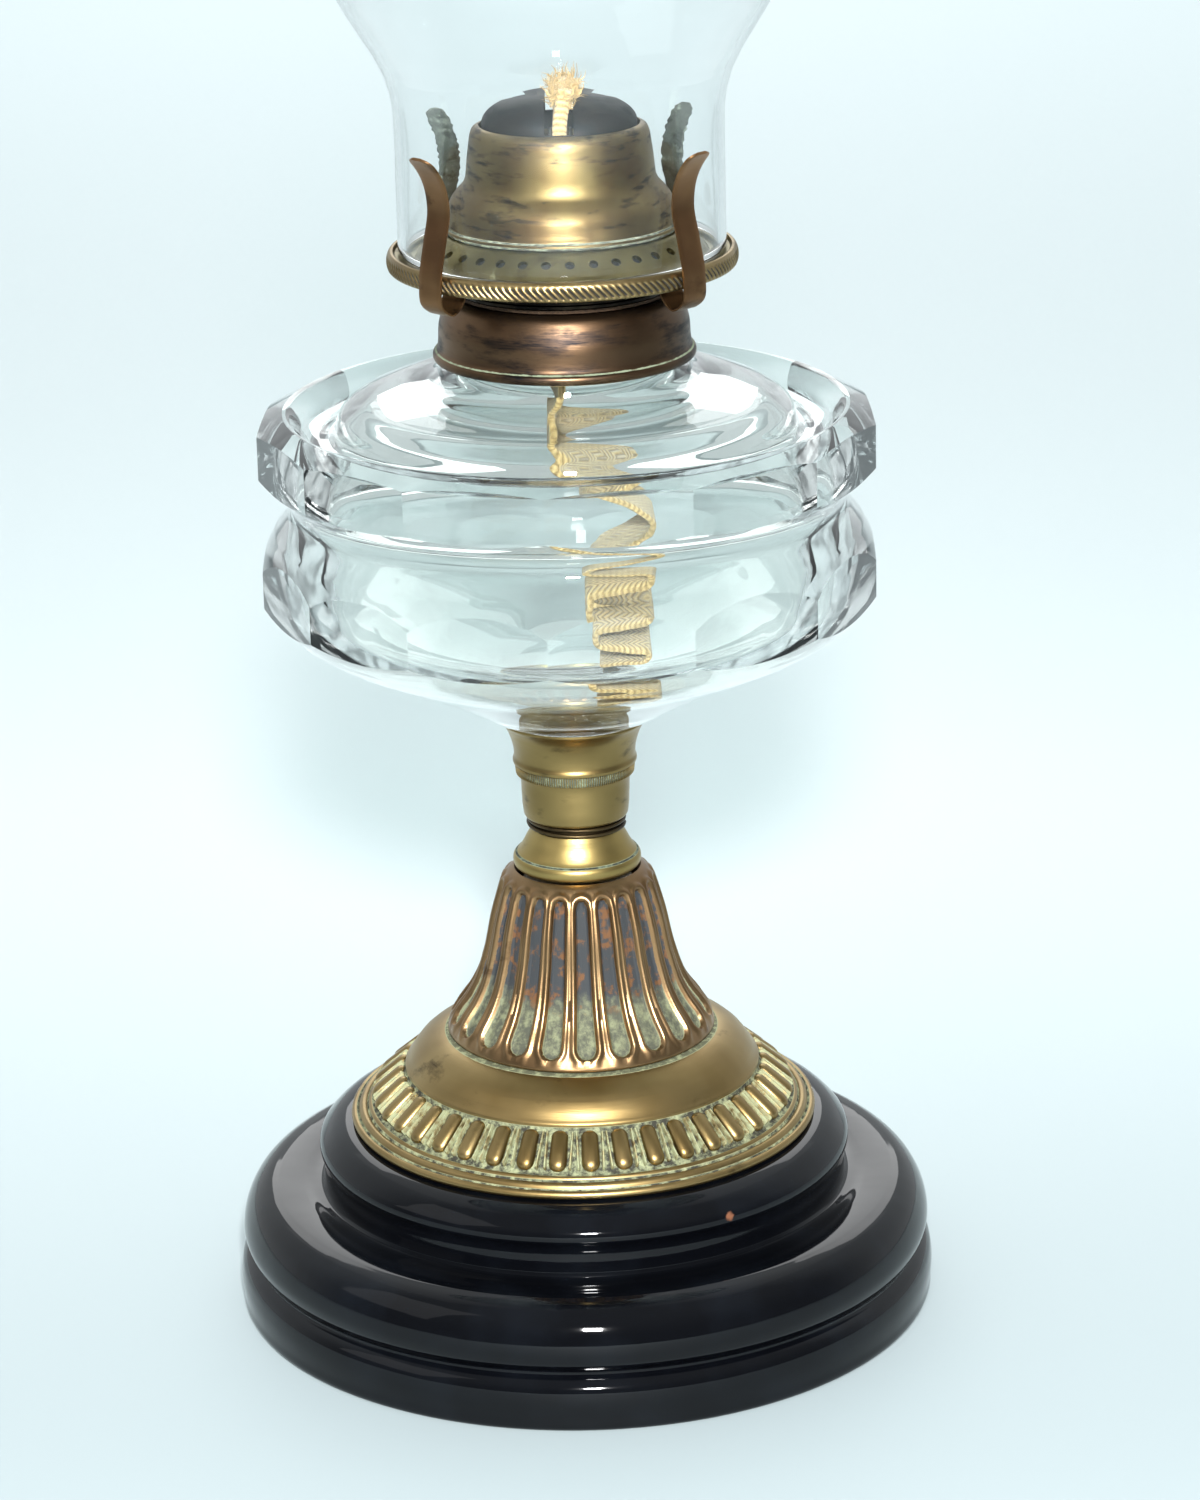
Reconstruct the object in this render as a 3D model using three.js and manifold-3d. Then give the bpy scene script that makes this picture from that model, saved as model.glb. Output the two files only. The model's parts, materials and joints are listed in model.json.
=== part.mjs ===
// A table oil lamp: glazed plinth, pressed brass foot, cut glass font, flat-wick burner and chimney.
// Millimetres, +Z up, the lamp stands on z = 0 and its axis is the Z axis. The front is -Y.
import * as THREE from "three";
import { mergeVertices } from "three/addons/utils/BufferGeometryUtils.js";
import Module from "manifold-3d";

const wasm = await Module();
wasm.setup();
const { Manifold, Mesh } = wasm;

// ---------------------------------------------------------------- driving dimensions
const GAP = 0.3; // running gap between two pieces that touch on the real lamp
const SHEET = 0.8; // thickness of the pressed brass sheet

const PLINTH_R = 83.5; // widest radius of the plinth
const PLINTH_TOP = 44.7; // height of the plinth's flat top
const PLINTH_WALL = 6.2;
const STEP_R = 62.6; // upright side of the plinth's upper step
const STEP_Z = 28.8; // where that side starts

const FOOT_R = 55.6; // pressed foot's outer edge
const FOOT_TOP = 66.2; // where the fluted bell stands on the foot
const BELL_TOP = 106.9;
const FLUTES = 22; // recesses round the bell
const FLUTE_START = 2.5; // degrees from the front to the nearest flute's middle
const FLUTE_DEPTH = 0.8;

const KNOP_Z = BELL_TOP + GAP;
const KNOP_TOP = 116.8;
const BOLT_R = 2.9; // tie bolt from the stud down to the nut under the plinth
const STUD_R = 11.0; // thread that the font's cup screws on
const CUP_Z = 119.7;
const CUP_TOP = 143.9;

const FONT_Z = 142.6; // flat underside of the glass, inside the cup
const FONT_R = 71.3; // corner radius of the cut panels
const CAVITY_R = 57.4; // inside of the font
const CAVITY_Z = 152.4;
const NECK_R = 25.6;
const NECK_BORE = 22.4;
const NECK_TOP = 241.9;
const PANEL_CORNERS = [-80, -54.5, -30, -4, 22.5, 50.5, 79]; // hand-cut, degrees from the front
const PANELS = 14;

const COLLAR_Z = 230.3;
const COLLAR_R = 29.9;
const COLLAR_TOP = 245.2;
const SLEEVE_BORE = 20.7; // threaded inside of the font's collar
const SKIRT_R = 20.4; // threaded outside of the burner

const DRUM_R = 24.6;
const SHELF_Z = 254.9; // ledge that the chimney stands on
const SEAT_Z = 259.9; // ledge that the cone stands on
const RING_R = 39.9;
const AIR_HOLES = 36;
const AIR_HOLE_R = 1.05;
const AIR_HOLE_START = 3.3; // degrees past the front

const WICK = { thick: 3.5, wide: 25, low: 232.3, top: 295 };
const TUBE = { wall: 0.6, room: 0.35, low: 238, top: 280.5 };
const SPINDLE = { x: 7.0, z: 249.7, r: 1.25, wheelR: 5.0, wheelY: 8, knobY: 45, knobR: 8.6 };

const CONE_Z = SEAT_Z + GAP;
const LIP_Z = 284.1; // top of the cone, where the dome comes through
const DOME_R = 17.5;
const DOME_TOP = 292;
const SLOT = 6.4; // flame slot

const PRONG = { thick: 0.7, wide: 7.6 };
const CHIMNEY_R = 37.2;
const CHIMNEY_TOP = 509;
const CHIMNEY_WALL = 1.7;

// ---------------------------------------------------------------- shape helpers
const rad = THREE.MathUtils.degToRad;

/** A closed three.js geometry as a manifold solid that faces out. */
function toSolid(geometry) {
  const plain = geometry.index ? geometry.toNonIndexed() : geometry;
  plain.deleteAttribute("normal");
  plain.deleteAttribute("uv");
  const merged = mergeVertices(plain, 1e-4);
  const triVerts = new Uint32Array(merged.index.array);
  const vertProperties = merged.attributes.position.array;
  const solid = new Manifold(new Mesh({ numProp: 3, vertProperties, triVerts }));
  if (solid.volume() > 0) return solid;
  for (let i = 0; i < triVerts.length; i += 3) {
    triVerts.subarray(i, i + 3).reverse();
  }
  return new Manifold(new Mesh({ numProp: 3, vertProperties, triVerts }));
}

/** Turns an outline of [radius, height] points about Z. It starts and ends on the axis or on itself. */
function turned(outline, sides = 48) {
  const points = outline.map(([r, z]) => new THREE.Vector2(r, z));
  return toSolid(new THREE.LatheGeometry(points, sides).rotateX(Math.PI / 2));
}

/** A turned ring: the outline is closed back to its first point. */
function turnedRing(outline, sides = 48) {
  return turned([...outline, outline[0]], sides);
}

/** A smooth run of points through a few given ones. */
function smooth(points, count) {
  const curve = new THREE.SplineCurve(points.map(([r, z]) => new THREE.Vector2(r, z)));
  return curve.getPoints(count).map((p) => [p.x, p.y]);
}

/** The points of an outline moved sideways by a distance, to the left of the way it runs. */
function offset(points, distance) {
  return points.map((point, i) => {
    const before = points[Math.max(i - 1, 0)];
    const after = points[Math.min(i + 1, points.length - 1)];
    const along = [after[0] - before[0], after[1] - before[1]];
    const length = Math.hypot(...along);
    return [point[0] - (along[1] / length) * distance, point[1] + (along[0] / length) * distance];
  });
}

/** The closed outline of a sheet: its outer face from the bottom up, and its inner face back down. */
function sheet(outer, wall) {
  return [...outer, ...offset(outer, wall).reverse()];
}

/** A straight bar of round section along Z from low to high, or a tube if it is given a bore. */
function rod(radius, low, high, bore = 0, sides = 20) {
  const outline = [[bore, low], [radius, low], [radius, high], [bore, high]];
  return bore ? turnedRing(outline, sides) : turned(outline, sides);
}

/** A box by its lowest and highest corners. */
function box(low, high) {
  const size = high.map((v, i) => v - low[i]);
  return Manifold.cube(size, false).translate(low);
}

/** Lays something made along Z along +Y, at a place given by its x and z. */
function alongY(solid, x, z) {
  return solid.rotate([-90, 0, 0]).translate([x, 0, z]);
}

/** A strip of sheet that follows a run of [u, v] points, laid in the XZ plane and centred on Y. */
function strip(points, thick, wide) {
  const edge = [...offset(points, -thick / 2), ...offset(points, thick / 2).reverse()];
  const shape = new THREE.Shape(edge.map(([u, v]) => new THREE.Vector2(u, v)));
  const bar = new THREE.ExtrudeGeometry(shape, { depth: wide, bevelEnabled: false });
  return toSolid(bar.rotateX(Math.PI / 2).translate(0, wide / 2, 0));
}

// ---------------------------------------------------------------- finishes
const finish = (color, roughness, metalness, more = {}) =>
  new THREE.MeshStandardMaterial({ color, roughness, metalness, ...more });
const brass = () => finish("#8f7440", 0.38, 1);
const darkBrass = () => finish("#5a4028", 0.35, 1);
const steel = () => finish("#77777a", 0.45, 1);
const plaster = () => finish("#cfc9bb", 0.9, 0);
const glass = () => finish("#e6f0ee", 0.05, 0, { transparent: true, opacity: 0.35 });
const glaze = () => finish("#0b0c10", 0.08, 0);
const cotton = () => finish("#b79b6b", 0.95, 0);
const leather = () => finish("#5b4733", 0.8, 0);

const lamp = new THREE.Group();

/** Adds one named piece to the lamp. */
function piece(name, solid, material) {
  const { vertProperties, triVerts, numProp } = solid.getMesh();
  const geometry = new THREE.BufferGeometry();
  const positions = new Float32Array((vertProperties.length / numProp) * 3);
  for (let i = 0; i < positions.length; i++) {
    positions[i] = vertProperties[Math.floor(i / 3) * numProp + (i % 3)];
  }
  geometry.setAttribute("position", new THREE.BufferAttribute(positions, 3));
  geometry.setIndex(Array.from(triVerts));
  const mesh = new THREE.Mesh(geometry, material);
  mesh.name = name;
  lamp.add(mesh);
}

// ---------------------------------------------------------------- plinth and its fixings
function plinth() {
  const band = [[PLINTH_R - 0.6, 0], [PLINTH_R - 0.1, 3], [PLINTH_R, 8.5], [PLINTH_R - 1.2, 11.6]];
  const groove = [[PLINTH_R - 3.2, 12.8], [PLINTH_R - 3.1, 13.8]];
  const bulge = smooth([[82.1, 16], [82.4, 20.5], [79.6, 26.4], [73.5, 29.2], [STEP_R, STEP_Z]], 7);
  const side = [[STEP_R, STEP_Z + 7.4], [STEP_R + 0.9, 37.8], [STEP_R + 0.8, 39.2]];
  const crown = smooth([[STEP_R - 0.4, 40.8], [59.8, 43.2], [54, PLINTH_TOP]], 3);
  const bore = [[BOLT_R + 1.4, PLINTH_TOP], [BOLT_R + 1.4, PLINTH_TOP - PLINTH_WALL]];
  const inside = [
    [STEP_R - PLINTH_WALL - 3, PLINTH_TOP - PLINTH_WALL],
    [STEP_R - PLINTH_WALL, 35],
    [STEP_R - PLINTH_WALL, STEP_Z - PLINTH_WALL],
    [72, STEP_Z - PLINTH_WALL - 1],
    [PLINTH_R - 7.5, 17],
    [PLINTH_R - 7.5, 2],
    [PLINTH_R - 8.5, 0],
  ];
  return turnedRing([...band, ...groove, ...bulge, ...side, ...crown, ...bore, ...inside], 32);
}

piece("plinth", plinth(), glaze());

const WASHER_Z = PLINTH_TOP - PLINTH_WALL - GAP - 1.6;
const NUT_Z = WASHER_Z - GAP - 5;
piece("base_washer", rod(12, WASHER_Z, WASHER_Z + 1.6, BOLT_R + GAP), steel());
const nutBore = rod(BOLT_R + GAP, NUT_Z - 1, NUT_Z + 6);
piece("base_nut", rod(7.5, NUT_Z, NUT_Z + 5, 0, 6).subtract(nutBore), steel());

const STUD_TOP = 127;
const HEAD_Z = STUD_TOP + GAP;
const boltShaft = [[0, NUT_Z - 3], [BOLT_R, NUT_Z - 3], [BOLT_R, HEAD_Z]];
const boltHead = [[5, HEAD_Z], [5, HEAD_Z + 3], [0, HEAD_Z + 3]];
piece("tie_bolt", turned([...boltShaft, ...boltHead], 16), steel());

// ---------------------------------------------------------------- pressed foot, bell and knop
function ogeeFoot() {
  const beads = [[FOOT_R, 45], [FOOT_R, 46.4], [53.8, 47.4], [51.1, 48.7]];
  const eggBand = [[50.2, 50.8], [46.8, 54.8], [42.4, 57.4]];
  const ogee = smooth([[41.4, 58.6], [38.6, 62.8], [34.8, 65.1], [28.4, FOOT_TOP]], 4);
  const outer = [...beads, ...eggBand, ...ogee];
  const inner = [[54, 45], [49.6, 48], [49.2, 50], [45.6, 54.2], [40.6, 57.4], [34, 64.2], [28.4, FOOT_TOP - SHEET]];
  return turnedRing([...outer, ...inner.reverse()], 32);
}

/** Presses the flutes into the bell: every second side of its outer face goes in. */
function pressFlutes(vertex) {
  const [x, y, z] = vertex;
  const r = Math.hypot(x, y);
  const height = (z - FOOT_TOP) / (BELL_TOP - FOOT_TOP);
  if (height < 0.07 || height > 0.94) return;
  const fromFront = THREE.MathUtils.radToDeg(Math.atan2(x, -y)) - FLUTE_START;
  const halves = Math.round((fromFront / 360) * FLUTES * 2);
  if (halves % 2) return;
  vertex[0] -= (x / r) * FLUTE_DEPTH;
  vertex[1] -= (y / r) * FLUTE_DEPTH;
}

function flutedBell() {
  const skirt = smooth([[31.6, 67.6], [28.6, 72.6], [24.8, 78], [22, 86], [20.1, 96], [18.4, 102]], 6);
  const outside = [[31.8, FOOT_TOP + GAP], ...skirt, [17.2, 104.8], [15.6, BELL_TOP]];
  const solid = turned([[0, FOOT_TOP + GAP], ...outside, [0, BELL_TOP]], FLUTES * 2);
  const inside = [[0, 60], [30.6, 60], [30.2, 68], [27.2, 72.6], [20.2, 86], [18.2, 96], [15, 104.4], [14, 105.9], [0, 105.9]];
  const bore = rod(BOLT_R + 1, 100, 110, 0, 16);
  return solid.rotate([0, 0, FLUTE_START]).warp(pressFlutes).subtract(turned(inside, 32)).subtract(bore);
}

piece("ogee_foot", ogeeFoot(), brass());
piece("fluted_bell", flutedBell(), brass());

function footPlaster() {
  const low = PLINTH_TOP + 0.5;
  const wide = [[BOLT_R + 0.5, low], [48.4, low], [48.2, 47.6], [43.6, 53], [38.6, 57], [32, 63.6], [27, 65]];
  const rise = [[25.4, 70], [18.8, 84], [16.6, 95], [13.4, 103], [12, 104.6], [BOLT_R + 0.5, 104.6]];
  return turnedRing([...wide, ...rise], 20);
}

function knop() {
  const bore = STUD_R - 1.4;
  const bulge = [[14.7, KNOP_Z], [15.1, KNOP_Z + 1.6], [14.7, 110.4], [13.9, 111], [13.5, 112]];
  const neck = [[11.8, 114.5], [10.6, KNOP_TOP], [bore, KNOP_TOP]];
  return turnedRing([[bore, KNOP_Z], ...bulge, ...neck], 28);
}

function stemStud() {
  const shank = STUD_R - 1.7;
  const low = [[BOLT_R + GAP, KNOP_Z], [shank, KNOP_Z], [shank, KNOP_TOP + GAP]];
  const thread = [[STUD_R, KNOP_TOP + GAP], [STUD_R, STUD_TOP], [BOLT_R + GAP, STUD_TOP]];
  return turnedRing([...low, ...thread], 24);
}

piece("foot_plaster", footPlaster(), plaster());
piece("knop", knop(), brass());
piece("stem_stud", stemStud(), darkBrass());

// ---------------------------------------------------------------- cup that carries the font
const SEAT_WASHER_Z = HEAD_Z + 3 + 0.6;
piece("cup_washer", rod(11.6, SEAT_WASHER_Z, SEAT_WASHER_Z + 1, 6), leather());

function fontCup() {
  const lower = [[12, CUP_Z], [12.4, CUP_Z + 1.6], [13, 130], [13.6, 130.8], [14, 132.6], [14.5, 133.5]];
  const flare = [[14.3, 135], [14.9, 139], [16.2, 142.4], [17.3, CUP_TOP]];
  const inside = [[16.6, CUP_TOP], [15.4, 142], [14.1, 139], [13.4, 134], [12.4, 130.6], [STUD_R + GAP, 127]];
  return turnedRing([...lower, ...flare, ...inside, [STUD_R + GAP, CUP_Z]], 28);
}

function cupPlaster() {
  const low = SEAT_WASHER_Z + 1 + GAP;
  return turned([[0, low], [12.2, low], [12.9, 134], [13.6, 139], [14.3, 140.8], [0, 140.8]], 24);
}

piece("font_cup", fontCup(), brass());
piece("cup_plaster", cupPlaster(), plaster());
piece("cup_plate", rod(14.6, 141.2, FONT_Z - GAP, 0, 24), darkBrass());

// ---------------------------------------------------------------- glass font
/** The prism that cuts the panels: its corners are the given ones and the rest evenly spaced. */
function panelPrism() {
  const first = PANEL_CORNERS[0] + 360;
  const last = PANEL_CORNERS.at(-1);
  const unseen = PANELS - PANEL_CORNERS.length;
  const step = (first - last) / (unseen + 1);
  const others = Array.from({ length: unseen }, (_, i) => last + step * (i + 1));
  const corners = [...PANEL_CORNERS, ...others].map((a) => rad(a - 90));
  const shape = new THREE.Shape(
    corners.map((a) => new THREE.Vector2(FONT_R * Math.cos(a), FONT_R * Math.sin(a))),
  );
  const prism = new THREE.ExtrudeGeometry(shape, { depth: 120, bevelEnabled: false });
  return toSolid(prism.translate(0, 0, FONT_Z - 10));
}

function fontGlass() {
  const under = [[0, FONT_Z], [14.8, FONT_Z], [15.3, 143.4], [16.4, 144.3], [17.6, 144.6]];
  const bowl = smooth([[21, 145.7], [28.6, 150], [44, 158], [62.6, 167.2]], 3);
  const lowerBand = [[66.2, 169.8], [70.6, 174.4], [72, 177], [72, 181], [70.8, 185.2], [67.6, 191.6]];
  const groove = smooth([[64.6, 194.8], [63.7, 197.2], [64.6, 199.8]], 2);
  const upperBand = [[67, 202.2], [70.4, 204.8], [72, 206.6], [72, 215.4], [65, 218.8], [64.1, 218.9]];
  const channel = smooth([[62.4, 217], [60.2, 213.8], [56.4, 212.7], [53.6, 213.8], [52.6, 216.4]], 4);
  const dome = smooth([[50.4, 219.6], [46, 222.4], [38, 225], [31, 226.4], [28.9, 228]], 4);
  const neck = [[28.6, 229.9], [NECK_R, 229.9], [NECK_R, NECK_TOP], [NECK_BORE, NECK_TOP], [NECK_BORE, 231]];
  const ceiling = smooth([[24, 227.4], [34, 222.2], [46, 218.4], [51.4, 213], [55, 207.6]], 4);
  const wall = [[CAVITY_R - 0.6, 202], [CAVITY_R, 190], [CAVITY_R, 177], [54.6, 169.6]];
  const floor = [[46, 164.4], [28, 156], [18, 153.2], [0, CAVITY_Z]];
  const outer = [...under, ...bowl, ...lowerBand, ...groove, ...upperBand, ...channel, ...dome];
  return turned([...outer, ...neck, ...ceiling, ...wall, ...floor], 28).intersect(panelPrism());
}

piece("font_glass", fontGlass(), glass());

// ---------------------------------------------------------------- collar on the font's neck
function fontCollar() {
  const lip = [[COLLAR_R - 1.3, COLLAR_Z], [COLLAR_R, COLLAR_Z + 0.3], [COLLAR_R, COLLAR_Z + 2]];
  const outside = smooth([[28.8, 233.2], [28.4, 238.6], [27.3, 242.4], [25.5, COLLAR_TOP]], 4);
  const mouth = [[SLEEVE_BORE, COLLAR_TOP], [SLEEVE_BORE, 234], [SLEEVE_BORE + 0.9, 234]];
  const inside = [[SLEEVE_BORE + 0.9, 244.2], [24.8, 244.2], [26.5, 241.8], [27.5, 238.6], [27.9, 233.4]];
  return turnedRing([...lip, ...outside, ...mouth, ...inside, [COLLAR_R - 1.3, 232]], 28);
}

piece("font_collar", fontCollar(), darkBrass());
piece("collar_plaster", rod(26.4, 233, 240.2, NECK_R + GAP, 28), plaster());
const GASKET_Z = COLLAR_TOP + GAP;
piece("collar_gasket", rod(24.8, GASKET_Z, GASKET_Z + 0.7, 21, 28), leather());

// ---------------------------------------------------------------- burner body and gallery
const FLANGE_Z = GASKET_Z + 0.7 + GAP;
const FLANGE_TOP = FLANGE_Z + 0.6;

function burnerSkirt() {
  const bore = SKIRT_R - 0.9;
  const tube = [[bore, 235], [SKIRT_R, 235], [SKIRT_R, FLANGE_Z], [25, FLANGE_Z]];
  return turnedRing([...tube, [25, FLANGE_TOP], [bore, FLANGE_TOP]], 28);
}

const DRUM_Z = FLANGE_TOP + GAP;

function burnerDrum() {
  const shell = rod(DRUM_R, DRUM_Z, SEAT_Z - SHEET - GAP, DRUM_R - 0.7, 28);
  const hole = alongY(rod(SPINDLE.r + 0.35, 0, 40), SPINDLE.x, SPINDLE.z);
  return shell.subtract(hole);
}

function galleryPlate() {
  const top = [[37.9, SHELF_Z], [33.1, SHELF_Z], [32.6, SHELF_Z + 0.5], [26.8, SEAT_Z], [20, SEAT_Z]];
  const plate = turnedRing([...top, ...offset(top, SHEET).reverse()], 28);
  const drills = [];
  for (let i = 0; i < AIR_HOLES; i++) {
    const turn = AIR_HOLE_START - 90 + (i * 360) / AIR_HOLES;
    drills.push(rod(AIR_HOLE_R, 250, 262, 0, 6).translate([29.8, 0, 0]).rotate([0, 0, turn]));
  }
  return plate.subtract(Manifold.union(drills));
}

const rope = [
  [RING_R - 1.5, 251.5], [RING_R - 0.5, 251.4], [RING_R - 0.1, 252.2], [RING_R, 253.5],
  [RING_R - 0.4, 254.9], [RING_R - 1.1, 255.7], [RING_R - 1.5, 255.6],
];
piece("burner_skirt", burnerSkirt(), brass());
piece("burner_drum", burnerDrum(), darkBrass());
piece("gallery_plate", galleryPlate(), brass());
piece("gallery_ring", turnedRing(rope, 32), brass());

// ---------------------------------------------------------------- wick tube and its supports
const tubeIn = [WICK.thick / 2 + TUBE.room, WICK.wide / 2 + 0.7];
const tubeOut = tubeIn.map((half) => half + TUBE.wall);
const bar = ([x, y], low, high) => box([-x, -y, low], [x, y, high]);

function wickTube() {
  let tube = bar(tubeOut, TUBE.low, TUBE.top).subtract(bar(tubeIn, TUBE.low - 1, TUBE.top + 1));
  for (const y of [-SPINDLE.wheelY, SPINDLE.wheelY]) {
    tube = tube.subtract(box([1, y - 1.6, SPINDLE.z - 3.1], [4, y + 1.6, SPINDLE.z + 3.1]));
  }
  return tube;
}

function tubePlate() {
  const slot = tubeOut.map((half) => half + GAP);
  return rod(SKIRT_R - 0.9 - GAP, 239.2, 240.2, 0, 28).subtract(bar(slot, 238, 242));
}

function spindleBracket() {
  const plate = box([tubeOut[0] + GAP, -12.4, SPINDLE.z - 4], [SPINDLE.x + 3, -11.4, SPINDLE.z + 4]);
  return plate.subtract(alongY(rod(SPINDLE.r + 0.25, -14, -10), SPINDLE.x, SPINDLE.z));
}

piece("wick_tube", wickTube(), darkBrass());
piece("tube_plate", tubePlate(), brass());
piece("spindle_bracket", spindleBracket(), brass());
const bush = rod(2.1, DRUM_R + GAP, DRUM_R + 3, SPINDLE.r + 0.25);
piece("spindle_bush", alongY(bush, SPINDLE.x, SPINDLE.z), brass());

// ---------------------------------------------------------------- winder: spindle, wheels and knob
/** A disc along Z with pointed teeth round it. */
function toothed(outerR, innerR, teeth, low, high, bore) {
  const shape = new THREE.Shape();
  for (let i = 0; i < teeth * 2; i++) {
    const r = i % 2 ? innerR : outerR;
    const a = (i / teeth) * Math.PI;
    if (i) shape.lineTo(r * Math.cos(a), r * Math.sin(a));
    else shape.moveTo(r, 0);
  }
  shape.holes.push(new THREE.Path().absarc(0, 0, bore, 0, Math.PI * 2, true));
  const options = { depth: high - low, bevelEnabled: false, curveSegments: 6 };
  return toSolid(new THREE.ExtrudeGeometry(shape, options).translate(0, 0, low));
}

const onSpindle = (solid) => alongY(solid, SPINDLE.x, SPINDLE.z);
const wheelBore = SPINDLE.r + GAP;
const { knobY, knobR, wheelR, wheelY } = SPINDLE;
piece("spindle", onSpindle(rod(SPINDLE.r, -13.6, knobY + 5.6, 0, 12)), steel());
for (const [name, y] of [["wick_wheel_front", -wheelY], ["wick_wheel_back", wheelY]]) {
  piece(name, onSpindle(toothed(wheelR, wheelR - 0.9, 14, y - 1, y + 1, wheelBore)), brass());
}

function winderKnob() {
  const rim = toothed(knobR, knobR - 0.5, 24, knobY + 1.4, knobY + 4.4, wheelBore);
  const hub = rod(3.4, knobY, knobY + 5.2, wheelBore, 16);
  return rim.add(hub);
}

piece("winder_knob", onSpindle(winderKnob()), brass());

// ---------------------------------------------------------------- wick
const TAIL_FOLDS = [
  [0, 231.9], [-1.5, 222], [-3.4, 213.6], [5, 208.4], [16.4, 202.6], [20.2, 198.2], [14.4, 191.6], [4.6, 185.4],
  [3.6, 181.6], [10, 178.6], [18.8, 176.2], [19.4, 173.2], [12, 170.8], [4.4, 168.6], [4.6, 166], [12, 164],
  [19, 162.2], [18.4, 160.2], [11, 158.6], [5.6, 157],
];

piece("wick", bar([WICK.thick / 2, WICK.wide / 2], WICK.low, WICK.top), cotton());
piece("wick_tail", strip(smooth(TAIL_FOLDS, 44), 1.8, WICK.wide), cotton());

// ---------------------------------------------------------------- cone and dome, which lift off together
function coneShell() {
  const flange = [[26.6, CONE_Z], [26.6, CONE_Z + 1.1], [25.9, 262.3], [25.6, 265]];
  const throat = smooth([[24.4, 268], [22, 270.4], [21.2, 274]], 3);
  const barrel = [[20.6, 279], [20.1, 282.3], [19.4, 283.6], [DOME_R + 0.7, LIP_Z]];
  return turnedRing(sheet([...flange, ...throat, ...barrel], 0.7), 24);
}

function dome() {
  const outer = [[DOME_R, LIP_Z - 4.5]];
  for (let i = 0; i <= 5; i++) {
    const a = rad(i * 18);
    outer.push([DOME_R * Math.cos(a), LIP_Z + 0.3 + (DOME_TOP - LIP_Z - 0.3) * Math.sin(a)]);
  }
  const inner = outer.map(([r, z]) => [Math.max(r - 0.7, 0), z - (r < DOME_R ? 0.7 : 0)]).reverse();
  inner[0][0] = 0;
  const shell = turned([...outer, ...inner.slice(1), [DOME_R, LIP_Z - 4.5]], 28);
  return shell.subtract(box([-SLOT / 2, -30, LIP_Z + 0.1], [SLOT / 2, 30, DOME_TOP + 5]));
}

piece("cone_shell", coneShell(), brass());
piece("dome", dome(), darkBrass());

// ---------------------------------------------------------------- prongs that hold the chimney
const PRONG_BEND = [[33.6, 252.6], [34.2, 249.4], [37.6, 246.7], [40.6, 248.6]];
const PRONG_BLADE = [[41.1, 254], [39.6, 262], [37.95, 270], [39, 275.6], [42.6, 281], [44, 282.2]];
const blade = strip(smooth([...PRONG_BEND, ...PRONG_BLADE], 22), PRONG.thick, PRONG.wide);
for (const [name, turn] of [["prong_1", -45], ["prong_2", 45], ["prong_3", 135], ["prong_4", -135]]) {
  piece(name, blade.rotate([0, 0, turn]), brass());
}

// ---------------------------------------------------------------- chimney
function chimney() {
  const fitter = [[CHIMNEY_R, SHELF_Z + GAP], [CHIMNEY_R, 286]];
  const flare = smooth([[37.7, 291], [41.2, 300], [47.6, 310.5], [52.6, 321]], 3);
  const bulb = smooth([[54, 331], [51.6, 346], [43.6, 366], [35, 388], [30, 412], [27.6, 446]], 5);
  const outer = [...fitter, ...flare, ...bulb, [26.8, CHIMNEY_TOP - 1], [26.4, CHIMNEY_TOP]];
  return turnedRing(sheet(outer, CHIMNEY_WALL), 24);
}

piece("chimney", chimney(), glass());

export default lamp;
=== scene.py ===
"""Flat-wick oil lamp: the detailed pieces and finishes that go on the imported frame."""

import json
import logging
import math
import random
from collections.abc import Callable, Sequence
from dataclasses import dataclass
from enum import Enum

import bmesh
import bpy
from mathutils import Matrix, Vector, noise

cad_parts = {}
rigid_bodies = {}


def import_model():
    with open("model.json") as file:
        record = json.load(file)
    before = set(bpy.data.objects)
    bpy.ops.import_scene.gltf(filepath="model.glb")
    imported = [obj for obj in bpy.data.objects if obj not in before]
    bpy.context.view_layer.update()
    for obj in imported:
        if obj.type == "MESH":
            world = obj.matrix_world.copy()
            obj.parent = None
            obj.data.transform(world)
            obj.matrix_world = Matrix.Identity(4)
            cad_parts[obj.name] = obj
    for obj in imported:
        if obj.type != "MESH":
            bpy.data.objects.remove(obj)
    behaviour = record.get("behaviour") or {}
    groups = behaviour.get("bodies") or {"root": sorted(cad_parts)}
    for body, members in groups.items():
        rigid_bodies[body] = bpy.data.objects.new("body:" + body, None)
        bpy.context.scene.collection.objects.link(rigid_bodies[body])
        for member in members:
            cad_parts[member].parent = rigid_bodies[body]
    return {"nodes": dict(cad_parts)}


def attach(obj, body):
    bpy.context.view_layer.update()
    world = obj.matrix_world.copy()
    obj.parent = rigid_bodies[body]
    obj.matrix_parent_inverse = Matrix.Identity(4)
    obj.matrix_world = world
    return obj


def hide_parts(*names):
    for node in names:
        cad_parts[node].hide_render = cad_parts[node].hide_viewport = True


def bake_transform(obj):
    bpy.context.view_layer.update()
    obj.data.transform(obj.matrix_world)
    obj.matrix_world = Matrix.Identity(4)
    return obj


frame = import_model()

MM = 0.001
Point = tuple[float, float]
log = logging.getLogger("oil_lamp")


# ---------------------------------------------------------------- small helpers
def srgb(code: str) -> tuple[float, float, float, float]:
    """Turns an sRGB hex colour to linear light.

    Args:
        code: The colour as "#rrggbb".

    Returns:
        Red, green, blue and an alpha of 1.
    """
    parts = [int(code[i : i + 2], 16) / 255 for i in (1, 3, 5)]
    linear = [c / 12.92 if c <= 0.04045 else ((c + 0.055) / 1.055) ** 2.4 for c in parts]
    return (linear[0], linear[1], linear[2], 1.0)


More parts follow.
